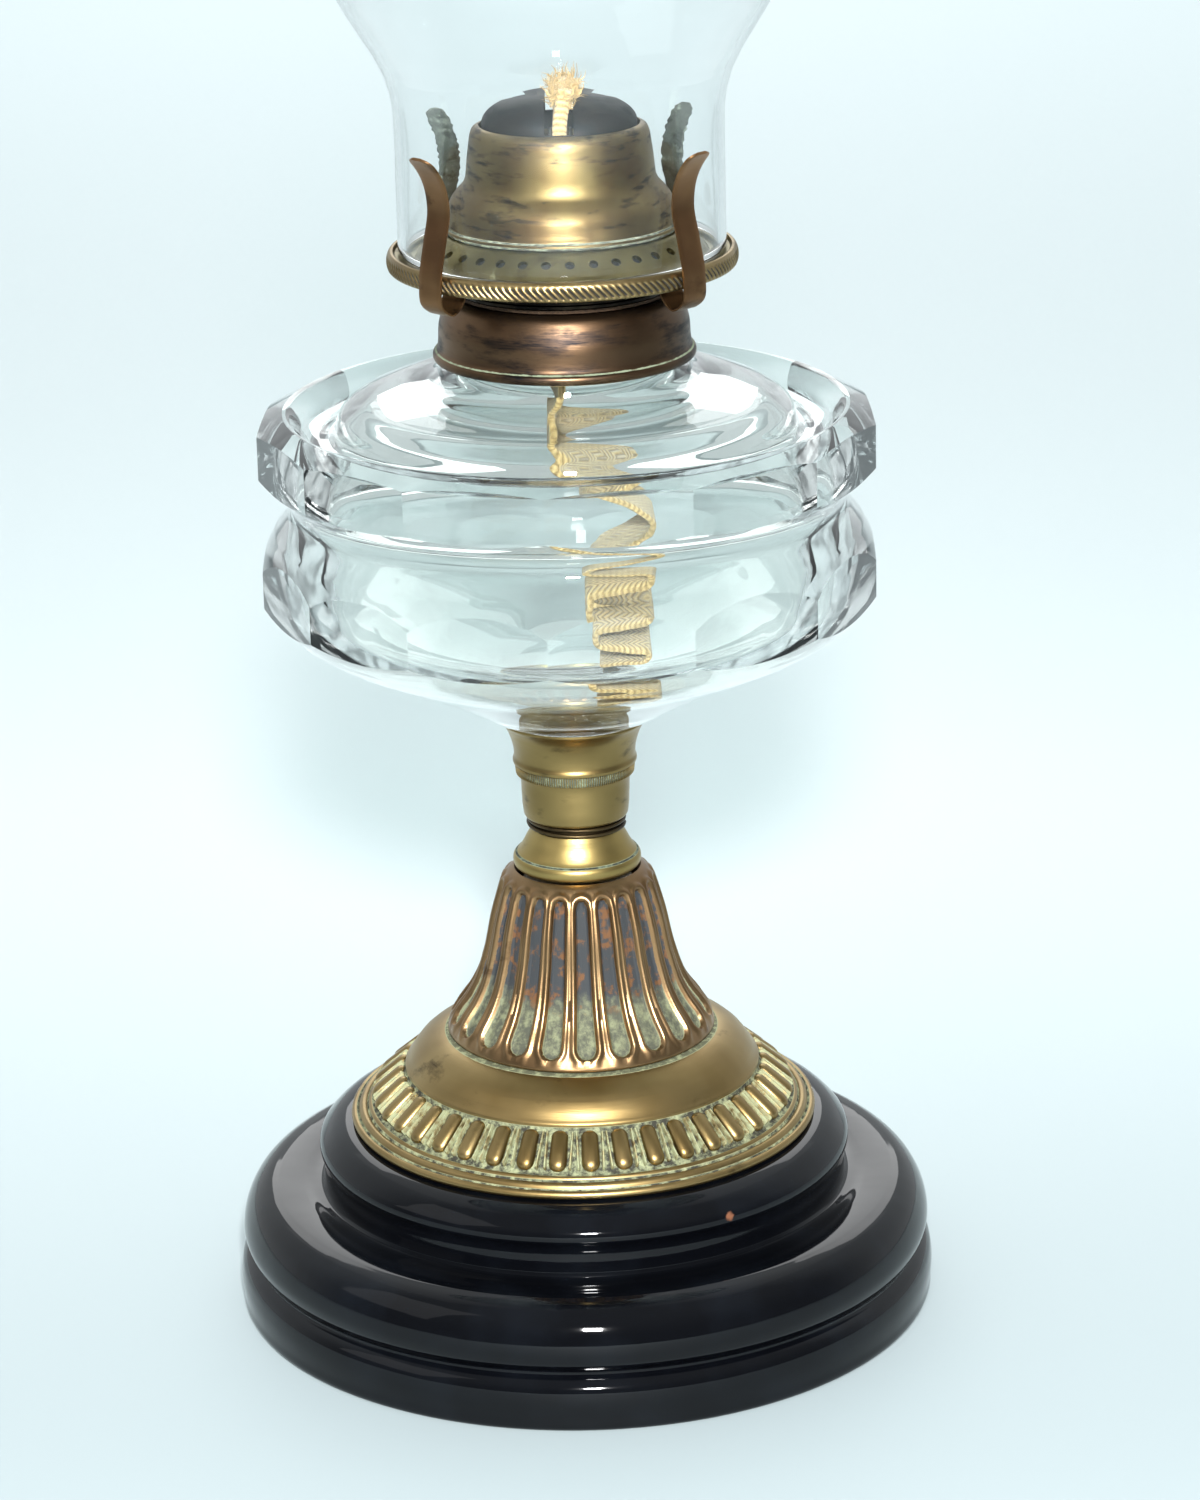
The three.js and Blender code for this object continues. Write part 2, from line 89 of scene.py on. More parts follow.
def feed(tree: bpy.types.NodeTree, node: bpy.types.Node, inputs: dict | Sequence) -> None:
    """Sets a node's inputs.

    Args:
        tree: The tree that holds the node.
        node: The node.
        inputs: Values, nodes or sockets, by input name or place, or as a list in the inputs' order.
    """
    named = inputs if isinstance(inputs, dict) else dict(enumerate(inputs))
    for key, value in named.items():
        live = [s for s in node.inputs if s.enabled]
        socket = live[key] if isinstance(key, int) else next(s for s in live if s.name == key)
        if isinstance(value, bpy.types.Node):
            value = next(s for s in value.outputs if s.enabled)
        if isinstance(value, bpy.types.NodeSocket):
            tree.links.new(value, socket)
        else:
            socket.default_value = value


def add(tree: bpy.types.NodeTree, kind: str, inputs: dict | Sequence = (), **settings) -> bpy.types.Node:
    """Adds one node to a tree.

    Args:
        tree: The tree that takes it.
        kind: The node's type.
        inputs: What feed() gives its inputs.
        **settings: The node's own settings.

    Returns:
        The new node.
    """
    node = tree.nodes.new(kind)
    for key, value in settings.items():
        setattr(node, key, value)
    feed(tree, node, inputs)
    return node


def into_scene(name: str, data: bpy.types.ID) -> bpy.types.Object:
    """Makes an object of its data and links it to the scene."""
    item = bpy.data.objects.new(name, data)
    bpy.context.scene.collection.objects.link(item)
    return item


def smooth(points: Sequence[Point], step: float) -> list[Point]:
    """Runs a smooth line through points.

    Args:
        points: The points, in mm.
        step: About how far apart the new points are, in mm.

    Returns:
        The points of the line.
    """
    gaps = [math.dist(a, b) for a, b in zip(points, points[1:])]
    slopes = [[(b[j] - a[j]) / h for j in (0, 1)] for a, b, h in zip(points, points[1:], gaps)]
    tangents = [slopes[0]]
    for i in range(1, len(points) - 1):
        h0, h1 = gaps[i - 1], gaps[i]
        tangents.append([(slopes[i - 1][j] * h1 + slopes[i][j] * h0) / (h0 + h1) for j in (0, 1)])
    tangents.append(slopes[-1])
    line = [tuple(points[0])]
    for i, h in enumerate(gaps):
        count = max(1, round(h / step))
        for k in range(1, count + 1):
            t = k / count
            start, end = 2 * t**3 - 3 * t**2 + 1, 3 * t**2 - 2 * t**3
            leave, arrive = h * (t**3 - 2 * t**2 + t), h * (t**3 - t**2)
            a, b, m, n = points[i], points[i + 1], tangents[i], tangents[i + 1]
            line.append(tuple(start * a[j] + end * b[j] + leave * m[j] + arrive * n[j] for j in (0, 1)))
    return line


def inner_face(points: Sequence[Point], wall: float) -> list[Point]:
    """The inner face of a sheet of even thickness, from the end of its outer face back to its start.

    Args:
        points: The outer face's points, from the bottom up, in mm.
        wall: The sheet's thickness, in mm.

    Returns:
        The inner face's points.
    """
    face = []
    for i, (r, z) in enumerate(points):
        before, after = points[max(i - 1, 0)], points[min(i + 1, len(points) - 1)]
        dr, dz = after[0] - before[0], after[1] - before[1]
        length = math.hypot(dr, dz) or 1
        face.append((max(r - dz / length * wall, 0.05), z + dr / length * wall))
    return face[::-1]


def lathe(outline: Sequence[Point], sides: int) -> bpy.types.Mesh:
    """Turns an outline about Z into a closed mesh.

    Args:
        outline: Radius and height points in mm, which start and end on the axis, or close on themselves.
        sides: Number of sides round the axis.

    Returns:
        The mesh, in metres.
    """
    bm = bmesh.new()
    rings = []
    for r, z in outline:
        turns = [i * math.tau / sides for i in range(sides)] if r > 1e-6 else [0.0]
        rings.append([bm.verts.new((r * MM * math.cos(a), r * MM * math.sin(a), z * MM)) for a in turns])
    pairs = list(zip(rings, rings[1:]))
    if len(rings[0]) > 1 and len(rings[-1]) > 1:
        pairs.append((rings[-1], rings[0]))
    for low, high in pairs:
        for i in range(sides):
            j = i + 1
            corners = [low[i % len(low)], low[j % len(low)], high[j % len(high)], high[i % len(high)]]
            corners = list(dict.fromkeys(corners))
            if len(corners) > 2:
                bm.faces.new(corners)
    return from_bmesh(bm)


def from_bmesh(bm: bmesh.types.BMesh) -> bpy.types.Mesh:
    """Closes a bmesh into a mesh whose faces point out."""
    bmesh.ops.recalc_face_normals(bm, faces=bm.faces)
    mesh = bpy.data.meshes.new("made")
    bm.to_mesh(mesh)
    bm.free()
    return mesh


def bar(low: Sequence[float], high: Sequence[float]) -> bpy.types.Mesh:
    """A plain box used only as a cutter, by its corners in mm."""
    bm = bmesh.new()
    size = [(h - w) * MM for w, h in zip(low, high)]
    middle = Vector([(h + w) / 2 * MM for w, h in zip(low, high)])
    bmesh.ops.create_cube(bm, size=1, matrix=Matrix.Translation(middle) @ Matrix.Diagonal((*size, 1)))
    return from_bmesh(bm)


def bead(length: float, width: float, height: float, rings: int = 8, sides: int = 10) -> bmesh.types.BMesh:
    """A long rounded bead along X.

    Args:
        length: Its length in mm.
        width: Its width in mm.
        height: Its height above and below its middle in mm.
        rings: Rings from end to end.
        sides: Sides round it.

    Returns:
        The bead, in metres.
    """
    bm = bmesh.new()
    bmesh.ops.create_uvsphere(
        bm, u_segments=sides, v_segments=rings, radius=1.0, matrix=Matrix.Rotation(math.pi / 2, 4, "Y"),
    )
    straight = max(length - width, 0.0) / 2
    for v in bm.verts:
        x = v.co.x * min(width, length) / 2 + (straight if v.co.x > -1e-6 else -straight)
        y = math.copysign(abs(v.co.y) ** 0.85, v.co.y)
        v.co = Vector((x * MM, y * width / 2 * MM, v.co.z * height * MM))
    return bm


def tag(mesh: bpy.types.Mesh, name: str, rule: Callable[[Vector], float]) -> bpy.types.Mesh:
    """Gives each vertex a number by a rule on its place in mm, and returns the mesh."""
    layer = mesh.attributes.new(name, "FLOAT", "POINT")
    for vertex, value in zip(mesh.vertices, layer.data):
        value.value = rule(vertex.co / MM)
    return mesh


def carve(mesh: bpy.types.Mesh, cutter: bpy.types.Mesh, operation: str) -> bpy.types.Mesh:
    """Cuts a mesh with another.

    Args:
        mesh: The mesh to cut.
        cutter: The other mesh.
        operation: DIFFERENCE or INTERSECT.

    Returns:
        The cut mesh.
    """
    host, tool = into_scene("carved", mesh), into_scene("cutter", cutter)
    cut = host.modifiers.new("cut", "BOOLEAN")
    cut.operation = operation
    cut.solver = "EXACT"
    cut.object = tool
    bpy.context.view_layer.update()
    made = bpy.data.meshes.new_from_object(host.evaluated_get(bpy.context.evaluated_depsgraph_get()))
    for item in (host, tool):
        bpy.data.objects.remove(item)
    return made


def finished(
    name: str, mesh: bpy.types.Mesh, finish: bpy.types.Material, sharp: float
) -> bpy.types.Object:
    """Makes a finished mesh an object.

    Args:
        name: The piece's name.
        mesh: Its mesh, in place.
        finish: Its material.
        sharp: Edges that turn by more than this stay sharp, in degrees.

    Returns:
        The piece.
    """
    mesh.name = name
    mesh.materials.clear()
    mesh.materials.append(finish)
    mesh.polygons.foreach_set("material_index", [0] * len(mesh.polygons))
    mesh.shade_smooth()
    mesh.set_sharp_from_angle(angle=math.radians(sharp))
    log.info("%s: %d faces", name, len(mesh.polygons))
    return into_scene(name, mesh)


def place(
    name: str,
    mesh: bpy.types.Mesh,
    finish: bpy.types.Material,
    body: str,
    slot: str,
    *nodes: str,
    sharp: float = 35.0,
) -> bpy.types.Object:
    """Adds a finished piece to the lamp.

    Args:
        name: The piece's name.
        mesh: Its mesh, in place.
        finish: Its material.
        body: The body that it rides on.
        slot: The record's material slot; not used.
        *nodes: The CAD nodes that it stands for.
        sharp: Edges that turn by more than this stay sharp, in degrees.

    Returns:
        The piece.
    """
    piece = finished(name, mesh, finish, sharp)
    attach(piece, body)
    if nodes:
        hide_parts(*nodes)
    return piece


def dress(finish: bpy.types.Material, *nodes: str) -> None:
    """Gives CAD nodes that stay a better material."""
    for name in nodes:
        node = frame["nodes"][name]
        if not node.material_slots:
            node.data.materials.append(finish)
        for slot in node.material_slots:
            slot.material = finish
        log.info("%s: kept, in %s", name, finish.name)


class GrowthTree:
    """A Geometry Nodes tree with named inputs that turns a base mesh into a finished one."""

    def __init__(self, name: str, **sizes) -> None:
        """Starts the tree.

        Args:
            name: The tree's name.
            **sizes: Its inputs and their values, as numbers or objects.
        """
        self.tree = bpy.data.node_groups.new(name, "GeometryNodeTree")
        self.sizes = sizes
        face = self.tree.interface
        face.new_socket("Geometry", in_out="INPUT", socket_type="NodeSocketGeometry")
        face.new_socket("Geometry", in_out="OUTPUT", socket_type="NodeSocketGeometry")
        self.ids: dict[str, str] = {}
        for label, value in sizes.items():
            kinds = {int: "NodeSocketInt", float: "NodeSocketFloat"}
            kind = kinds.get(type(value), "NodeSocketObject")
            self.ids[label] = face.new_socket(label, in_out="INPUT", socket_type=kind).identifier
        self.ids["finish"] = face.new_socket(
            "finish", in_out="INPUT", socket_type="NodeSocketMaterial",
        ).identifier
        self.start = add(self.tree, "NodeGroupInput")

    def size(self, label: str) -> bpy.types.NodeSocket:
        """The socket of a named input."""
        return self.start.outputs[label]

    @property
    def base(self) -> bpy.types.NodeSocket:
        """The base mesh's socket."""
        return self.start.outputs["Geometry"]

    def close(self, geometry: bpy.types.Node, with_base: bool = False) -> None:
        """Ends the tree in real geometry with its material.

        Args:
            geometry: The shape made by the tree.
            with_base: Whether the base mesh is joined to it.
        """
        if with_base:
            both = add(self.tree, "GeometryNodeJoinGeometry")
            self.tree.links.new(self.base, both.inputs[0])
            self.tree.links.new(geometry.outputs[0], both.inputs[0])
            geometry = both
        real = add(self.tree, "GeometryNodeRealizeInstances", [geometry])
        dressed = add(
            self.tree, "GeometryNodeSetMaterial", {"Geometry": real, "Material": self.size("finish")},
        )
        add(self.tree, "NodeGroupOutput", {"Geometry": dressed})

    def grow(self, mesh: bpy.types.Mesh, finish: bpy.types.Material) -> bpy.types.Mesh:
        """Runs the tree on a mesh.

        Args:
            mesh: The base mesh.
            finish: The material that the tree sets.

        Returns:
            The grown mesh.
        """
        host = into_scene("grown", mesh)
        modifier = host.modifiers.new("grow", "NODES")
        modifier.node_group = self.tree
        for label, value in self.sizes.items():
            modifier[self.ids[label]] = value
        modifier[self.ids["finish"]] = finish
        evaluated = host.evaluated_get(bpy.context.evaluated_depsgraph_get())
        grown = bpy.data.meshes.new_from_object(evaluated)
        host.modifiers.clear()
        bpy.data.objects.remove(host)
        return grown


class RingMode(Enum):
    """What a ring of copies does to the base mesh."""

    JOIN = "join"
    DRILL = "drill"


def ring_of(
    base: bpy.types.Mesh,
    unit: bmesh.types.BMesh,
    count: int,
    start: float,
    finish: bpy.types.Material,
    mode: RingMode = RingMode.JOIN,
    hollow: float = 0.0,
) -> bpy.types.Mesh:
    """Sets copies of a unit round the lamp's axis, on a base mesh or through it.

    Args:
        base: The base mesh.
        unit: One copy, where it stands at the start of the ring.
        count: Number of copies.
        start: Degrees that the first copy is turned by.
        finish: The material of the result.
        mode: Whether the copies join the base or are cut from it.
        hollow: The hollow number of the copies.

    Returns:
        The new mesh.
    """
    unit_mesh = tag(from_bmesh(unit), "hollow", lambda _: hollow)
    pattern = into_scene("pattern", unit_mesh)
    grow = GrowthTree(f"ring_{mode.value}", count=count, start=math.radians(start), unit=pattern)
    tree = grow.tree
    points = add(tree, "GeometryNodePoints", {"Count": grow.size("count")})
    step = add(tree, "ShaderNodeMath", [math.tau, grow.size("count")], operation="DIVIDE")
    place_in_ring = [add(tree, "GeometryNodeInputIndex"), step, grow.size("start")]
    turn = add(tree, "ShaderNodeMath", place_in_ring, operation="MULTIPLY_ADD")
    spin = add(tree, "ShaderNodeCombineXYZ", {"Z": turn})
    item = add(tree, "GeometryNodeObjectInfo", {"Object": grow.size("unit")})
    spot = {"Points": points, "Instance": item.outputs["Geometry"], "Rotation": spin}
    copies = add(tree, "GeometryNodeInstanceOnPoints", spot)
    if mode is RingMode.JOIN:
        grow.close(copies, with_base=True)
    else:
        solid = add(tree, "GeometryNodeRealizeInstances", {"Geometry": copies})
        parts = {"Mesh 1": grow.base, "Mesh 2": solid}
        drilled = add(tree, "GeometryNodeMeshBoolean", parts, operation="DIFFERENCE", solver="EXACT")
        grow.close(drilled)
    grown = grow.grow(base, finish)
    bpy.data.objects.remove(pattern)
    return grown


# ---------------------------------------------------------------- finishes
def new_material(name: str) -> tuple[bpy.types.Material, bpy.types.NodeTree, bpy.types.Node]:
    """An empty node material: the material, its tree and its shader."""
    material = bpy.data.materials.new(name)
    material.use_nodes = True
    tree = material.node_tree
    tree.nodes.clear()
    shader = add(tree, "ShaderNodeBsdfPrincipled")
    add(tree, "ShaderNodeOutputMaterial", {"Surface": shader})
    return material, tree, shader


@dataclass(frozen=True)
class AgedMetal:
    """Brass or copper alloy, pressed or turned, with the brown, black and green that age gives it.

    The clean metal gives warm highlights, tarnish dulls it in clouds, the lathe leaves fine rings, and
    hollows that no cloth reaches hold a dry grey-green crust. Sizes are in mm.
    """

    name: str
    bright: str = "#a98b55"
    dull: str = "#7c6034"
    dark: str = "#33241a"
    crust: str = "#7d8870"
    pit: str = "#2c2c26"
    tarnish: float = 0.3
    bloom: float = 0.06
    cloud: float = 11.0
    speck: float = 2.2
    lines: float = 0.45
    sheen: float = 0.3
    dry: float = 0.55
    bump: float = 0.05
    squash: float = 1.0

    def material(self) -> bpy.types.Material:
        """Builds the finish."""
        made, tree, shader = new_material(self.name)
        where = add(tree, "ShaderNodeTexCoord").outputs["Object"]
        fine = {"Vector": where, "Scale": 1 / (self.cloud * MM), "Detail": 6.0, "Roughness": 0.6}
        fine["Vector"] = add(tree, "ShaderNodeMapping", {"Vector": where, "Scale": (0.6, 0.6, self.squash)})
        cloud = add(tree, "ShaderNodeTexNoise", fine)
        wide = {"Vector": where, "Scale": 0.45 / (self.cloud * MM), "Detail": 3.0}
        drift = add(tree, "ShaderNodeTexNoise", wide)
        squeezed = add(tree, "ShaderNodeMapping", {"Vector": where, "Scale": (0.06, 0.06, 1.0)})
        groove = {"Vector": squeezed, "Scale": 1 / (self.lines * MM), "Detail": 3.0, "Roughness": 0.7}
        rings = add(tree, "ShaderNodeTexNoise", groove)
        dots = {"Vector": where, "Scale": 1 / (self.speck * MM), "Detail": 8.0, "Roughness": 0.72}
        specks = add(tree, "ShaderNodeTexNoise", dots)
        clean = add(tree, "ShaderNodeMapRange", {"Value": drift, "From Min": 0.3, "From Max": 0.72})
        metal = {"Factor": clean, "A": srgb(self.dull), "B": srgb(self.bright)}
        colour = add(tree, "ShaderNodeMix", metal, data_type="RGBA")
        edge = 0.5 + 0.34 * (0.5 - self.tarnish)
        spread = {"Value": cloud, "From Min": edge - 0.05, "From Max": edge + 0.09}
        tarnished = add(tree, "ShaderNodeMapRange", spread, interpolation_type="SMOOTHSTEP")
        ringed = add(
            tree, "ShaderNodeMapRange",
            {"Value": rings, "From Min": 0.35, "From Max": 0.65, "To Min": 0.55},
        )
        browned = add(tree, "ShaderNodeMath", {0: tarnished, 1: ringed}, operation="MULTIPLY")
        layer = {"Factor": browned, "A": colour, "B": srgb(self.dark)}
        colour = add(tree, "ShaderNodeMix", layer, data_type="RGBA")
        hollow = add(tree, "ShaderNodeAttribute", attribute_name="hollow").outputs["Fac"]
        crusted = add(tree, "ShaderNodeMapRange", {"Value": specks, "From Min": 0.44, "From Max": 0.62})
        ridge = add(
            tree, "ShaderNodeMapRange",
            {"Value": hollow, "From Min": 0.62, "From Max": 0.8, "To Min": 1.0, "To Max": 0.0},
        )
        lit = add(tree, "ShaderNodeMath", {0: crusted, 1: ridge}, operation="MAXIMUM")
        bottom = {"Factor": lit, "A": srgb(self.pit), "B": srgb(self.crust)}
        deep = self.floor(tree, where, add(tree, "ShaderNodeMix", bottom, data_type="RGBA"))
        rough_edge = add(tree, "ShaderNodeMath", {0: specks, 1: 0.7, 2: hollow}, operation="MULTIPLY_ADD")
        inside = {"Value": rough_edge, "From Min": 0.72, "From Max": 0.92}
        sunk = add(tree, "ShaderNodeMapRange", inside, interpolation_type="SMOOTHSTEP")
        colour = add(tree, "ShaderNodeMix", {"Factor": sunk, "A": colour, "B": deep}, data_type="RGBA")
        sprouts = 0.5 + 0.4 * (0.5 - self.bloom)
        speckled = {"Value": specks, "From Min": sprouts - 0.01, "From Max": sprouts + 0.06}
        green = add(tree, "ShaderNodeMapRange", speckled)
        near = add(tree, "ShaderNodeMapRange", {"Value": drift, "From Min": 0.44, "From Max": 0.6})
        grown = add(tree, "ShaderNodeMath", {0: green, 1: near}, operation="MULTIPLY")
        last = {"Factor": grown, "A": colour, "B": srgb(self.crust)}
        colour = add(tree, "ShaderNodeMix", last, data_type="RGBA")
        dull = add(tree, "ShaderNodeMath", {0: sunk, 1: grown}, operation="MAXIMUM")
        some = add(
            tree, "ShaderNodeMapRange",
            {"Value": browned, "To Min": self.sheen, "To Max": self.sheen + 0.12},
        )
        rough = add(
            tree, "ShaderNodeMix", {"Factor": dull, "A": some, "B": self.dry + 0.25}, data_type="FLOAT",
        )
        pure = add(tree, "ShaderNodeMapRange", {"Value": dull, "To Min": 1.0, "To Max": 0.15})
        height = add(tree, "ShaderNodeMix", {"Factor": dull, "A": rings, "B": specks}, data_type="FLOAT")
        relief = {"Height": height, "Strength": 0.25, "Distance": self.bump * MM * 2}
        bumped = add(tree, "ShaderNodeBump", relief)
        feed(tree, shader, {"Base Color": colour, "Roughness": rough, "Metallic": pure, "Normal": bumped})
        return made

    def floor(
        self, tree: bpy.types.NodeTree, where: bpy.types.NodeSocket, crust: bpy.types.Node,
    ) -> bpy.types.Node:
        """The colour at the bottom of the hollows.

        Args:
            tree: The material's tree.
            where: The place on the piece.
            crust: The plain crust's colour.

        Returns:
            The node that gives the colour.
        """
        return crust


@dataclass(frozen=True)
class FlutedMetal(AgedMetal):
    """The bell's pressed brass: its flutes are near black at the top and crusted grey-green below."""

    turn_z: float = 80.0
    slate: str = "#2b2f33"
    rust: str = "#644325"

    def floor(
        self, tree: bpy.types.NodeTree, where: bpy.types.NodeSocket, crust: bpy.types.Node,
    ) -> bpy.types.Node:
        """The upper part of each flute is slate and brown instead of crusted."""
        tall = add(tree, "ShaderNodeSeparateXYZ", {0: where}).outputs["Z"]
        fine = {"Vector": where, "Scale": 1 / (3.2 * MM), "Detail": 6.0, "Roughness": 0.65}
        patches = add(tree, "ShaderNodeTexNoise", fine)
        wander = add(tree, "ShaderNodeMath", {0: patches, 1: 12 * MM, 2: tall}, operation="MULTIPLY_ADD")
        fade = {"Value": wander, "From Min": (self.turn_z + 4) * MM, "From Max": (self.turn_z + 8) * MM}
        upper = add(tree, "ShaderNodeMapRange", fade)
        brown = add(tree, "ShaderNodeMapRange", {"Value": patches, "From Min": 0.52, "From Max": 0.6})
        burnt = {"Factor": brown, "A": srgb(self.slate), "B": srgb(self.rust)}
        black = add(tree, "ShaderNodeMix", burnt, data_type="RGBA")
        return add(tree, "ShaderNodeMix", {"Factor": upper, "A": crust, "B": black}, data_type="RGBA")


@dataclass(frozen=True)
class Glaze:
    """Black glazed earthenware, fired glossy: deep black with sharp reflections that ripple slightly."""

    name: str = "black_glazed_earthenware"
    body: str = "#050609"
    chip: str = "#6f4630"
    chip_at: tuple[float, float, float] = (33.7, -54.4, 39.6)
    chip_size: float = 1.1

    def material(self) -> bpy.types.Material:
        """Builds the finish."""
        made, tree, shader = new_material(self.name)
        where = add(tree, "ShaderNodeTexCoord").outputs["Object"]
        spot = tuple(c * MM for c in self.chip_at)
        away = add(tree, "ShaderNodeVectorMath", {0: where, 1: spot}, operation="DISTANCE").outputs["Value"]
        ragged = {"Vector": where, "Scale": 1 / (0.9 * MM), "Detail": 4.0}
        crumbs = add(tree, "ShaderNodeTexNoise", ragged)
        reach = add(tree, "ShaderNodeMath", {0: crumbs, 1: 1.2 * MM, 2: away}, operation="MULTIPLY_ADD")
        bounds = {
            "Value": reach, "From Min": (self.chip_size + 0.4) * MM,
            "From Max": (self.chip_size + 0.9) * MM,
        }
        whole = add(tree, "ShaderNodeMapRange", bounds)
        # Dust and fine wear that lie on the glaze as a slightly paler film
        film = add(tree, "ShaderNodeTexNoise", {"Vector": where, "Scale": 1 / (18 * MM), "Detail": 5.0})
        thin = add(
            tree, "ShaderNodeMapRange",
            {"Value": film, "From Min": 0.45, "From Max": 0.75, "To Max": 0.5},
        )
        dusty = {"Factor": thin, "A": srgb(self.body), "B": srgb("#11151b")}
        black = add(tree, "ShaderNodeMix", dusty, data_type="RGBA")
        skin = {"Factor": whole, "A": srgb(self.chip), "B": black}
        colour = add(tree, "ShaderNodeMix", skin, data_type="RGBA")
        gloss = add(tree, "ShaderNodeMapRange", {"Value": thin, "To Min": 0.045, "To Max": 0.16})
        rough = add(tree, "ShaderNodeMix", {"Factor": whole, "A": 0.8, "B": gloss}, data_type="FLOAT")
        feed(tree, shader, {"Base Color": colour, "Roughness": rough, "IOR": 1.5, "Specular IOR Level": 0.26})
        # The glaze pulls into ripples about 14 mm apart as it melts
        ripple = add(tree, "ShaderNodeTexNoise", {"Vector": where, "Scale": 1 / (14 * MM), "Detail": 2.0})
        relief = {"Height": ripple, "Strength": 0.35, "Distance": 0.25 * MM}
        feed(tree, shader, {"Normal": add(tree, "ShaderNodeBump", relief)})
        return made


@dataclass(frozen=True)
class ClearGlass:
    """Clear glass, pressed and cut or blown: bright, with a faint grey-green edge and soft waves."""

    name: str
    tint: str = "#f6faf8"
    ior: float = 1.52
    wave: float = 22.0
    wave_depth: float = 0.12
    rough: float = 0.0
    skin: float = 0.0
    shade: str = "#f3f7f6"

    def material(self) -> bpy.types.Material:
        """Builds the finish. Lamps shine through it, so that what it holds is lit."""
        made, tree, shader = new_material(self.name)
        where = add(tree, "ShaderNodeTexCoord").outputs["Object"]
        glass = {"Base Color": srgb(self.tint), "IOR": self.ior, "Roughness": self.rough}
        feed(tree, shader, {**glass, "Transmission Weight": 1.0})
        feed(tree, shader, {"Coat Weight": self.skin, "Coat Roughness": 0.02})
        slow = {"Vector": where, "Scale": 1 / (self.wave * MM), "Detail": 2.0}
        waves = add(tree, "ShaderNodeTexNoise", slow)
        relief = {"Height": waves, "Strength": 0.4, "Distance": self.wave_depth * MM}
        feed(tree, shader, {"Normal": add(tree, "ShaderNodeBump", relief)})
        lamp_ray = add(tree, "ShaderNodeLightPath").outputs["Is Shadow Ray"]
        through = add(tree, "ShaderNodeBsdfTransparent", {"Color": srgb(self.shade)})
        both = add(tree, "ShaderNodeMixShader", {0: lamp_ray, 1: shader, 2: through})
        end = next(n for n in tree.nodes if n.type == "OUTPUT_MATERIAL")
        tree.links.new(both.outputs[0], end.inputs["Surface"])
        return made


@dataclass(frozen=True)
class WovenCotton:
    """Woven cotton wick: matte tan yarn in ribs that slant to and fro, darker in the gaps and where oily."""

    name: str = "woven_cotton"
    pale: str = "#c9ad7a"
    deep: str = "#7d6238"
    rib: float = 1.5
    run: float = 3.1

    def material(self) -> bpy.types.Material:
        """Builds the finish from the strip's own UV map, which holds metres of cloth."""
        made, tree, shader = new_material(self.name)
        flat = add(tree, "ShaderNodeUVMap", uv_map="cloth")
        parts = add(tree, "ShaderNodeSeparateXYZ", {0: flat})
        across = add(tree, "ShaderNodeMath", {0: parts.outputs["X"], 1: self.run * MM}, operation="PINGPONG")
        slanted = add(
            tree, "ShaderNodeMath", {0: across, 1: 0.7, 2: parts.outputs["Y"]}, operation="MULTIPLY_ADD",
        )
        turn = add(tree, "ShaderNodeMath", {0: slanted, 1: math.tau / (self.rib * MM)}, operation="MULTIPLY")
        wave = add(tree, "ShaderNodeMath", {0: turn}, operation="SINE")
        seam = add(tree, "ShaderNodeMapRange", {"Value": across, "From Max": 0.4 * MM, "To Min": 0.35})
        crest = add(tree, "ShaderNodeMapRange", {"Value": wave, "From Min": -1.0, "From Max": 1.0})
        height = add(tree, "ShaderNodeMath", {0: crest, 1: seam}, operation="MULTIPLY")
        where = add(tree, "ShaderNodeTexCoord").outputs["Object"]
        yarn = add(tree, "ShaderNodeTexNoise", {"Vector": where, "Scale": 1 / (0.35 * MM), "Detail": 5.0})
        stain = add(tree, "ShaderNodeTexNoise", {"Vector": where, "Scale": 1 / (9 * MM), "Detail": 4.0})
        fuzzy = add(tree, "ShaderNodeMath", {0: yarn, 1: 0.8, 2: height}, operation="MULTIPLY_ADD")
        shade = add(tree, "ShaderNodeMapRange", {"Value": fuzzy, "From Min": 0.3, "From Max": 1.1})
        yarns = {"Factor": shade, "A": srgb(self.deep), "B": srgb(self.pale)}
        colour = add(tree, "ShaderNodeMix", yarns, data_type="RGBA")
        worn = add(
            tree, "ShaderNodeMapRange", {"Value": stain, "From Min": 0.5, "From Max": 0.7, "To Max": 0.5},
        )
        oily = {"Factor": worn, "A": colour, "B": srgb("#8a744d")}
        colour = add(tree, "ShaderNodeMix", oily, data_type="RGBA")
        feed(tree, shader, {"Base Color": colour, "Roughness": 0.92, "Sheen Weight": 0.25})
        relief = {"Height": fuzzy, "Strength": 0.9, "Distance": 0.25 * MM}
        feed(tree, shader, {"Normal": add(tree, "ShaderNodeBump", relief)})
        return made


@dataclass(frozen=True)
class DrySolid:
    """Plaster or leather: a matte surface with its own grain and slight colour drift."""

    name: str
    pale: str
    deep: str
    grain: float = 1.2
    bump: float = 0.15

    def material(self) -> bpy.types.Material:
        """Builds the finish."""
        made, tree, shader = new_material(self.name)
        where = add(tree, "ShaderNodeTexCoord").outputs["Object"]
        crumb = {"Vector": where, "Scale": 1 / (self.grain * MM), "Detail": 6.0, "Roughness": 0.7}
        grains = add(tree, "ShaderNodeTexNoise", crumb)
        shade = add(tree, "ShaderNodeMapRange", {"Value": grains, "From Min": 0.35, "From Max": 0.65})
        mix = {"Factor": shade, "A": srgb(self.deep), "B": srgb(self.pale)}
        colour = add(tree, "ShaderNodeMix", mix, data_type="RGBA")
        feed(tree, shader, {"Base Color": colour, "Roughness": 0.88})
        relief = {"Height": grains, "Strength": 0.5, "Distance": self.bump * MM}
        feed(tree, shader, {"Normal": add(tree, "ShaderNodeBump", relief)})
        return made


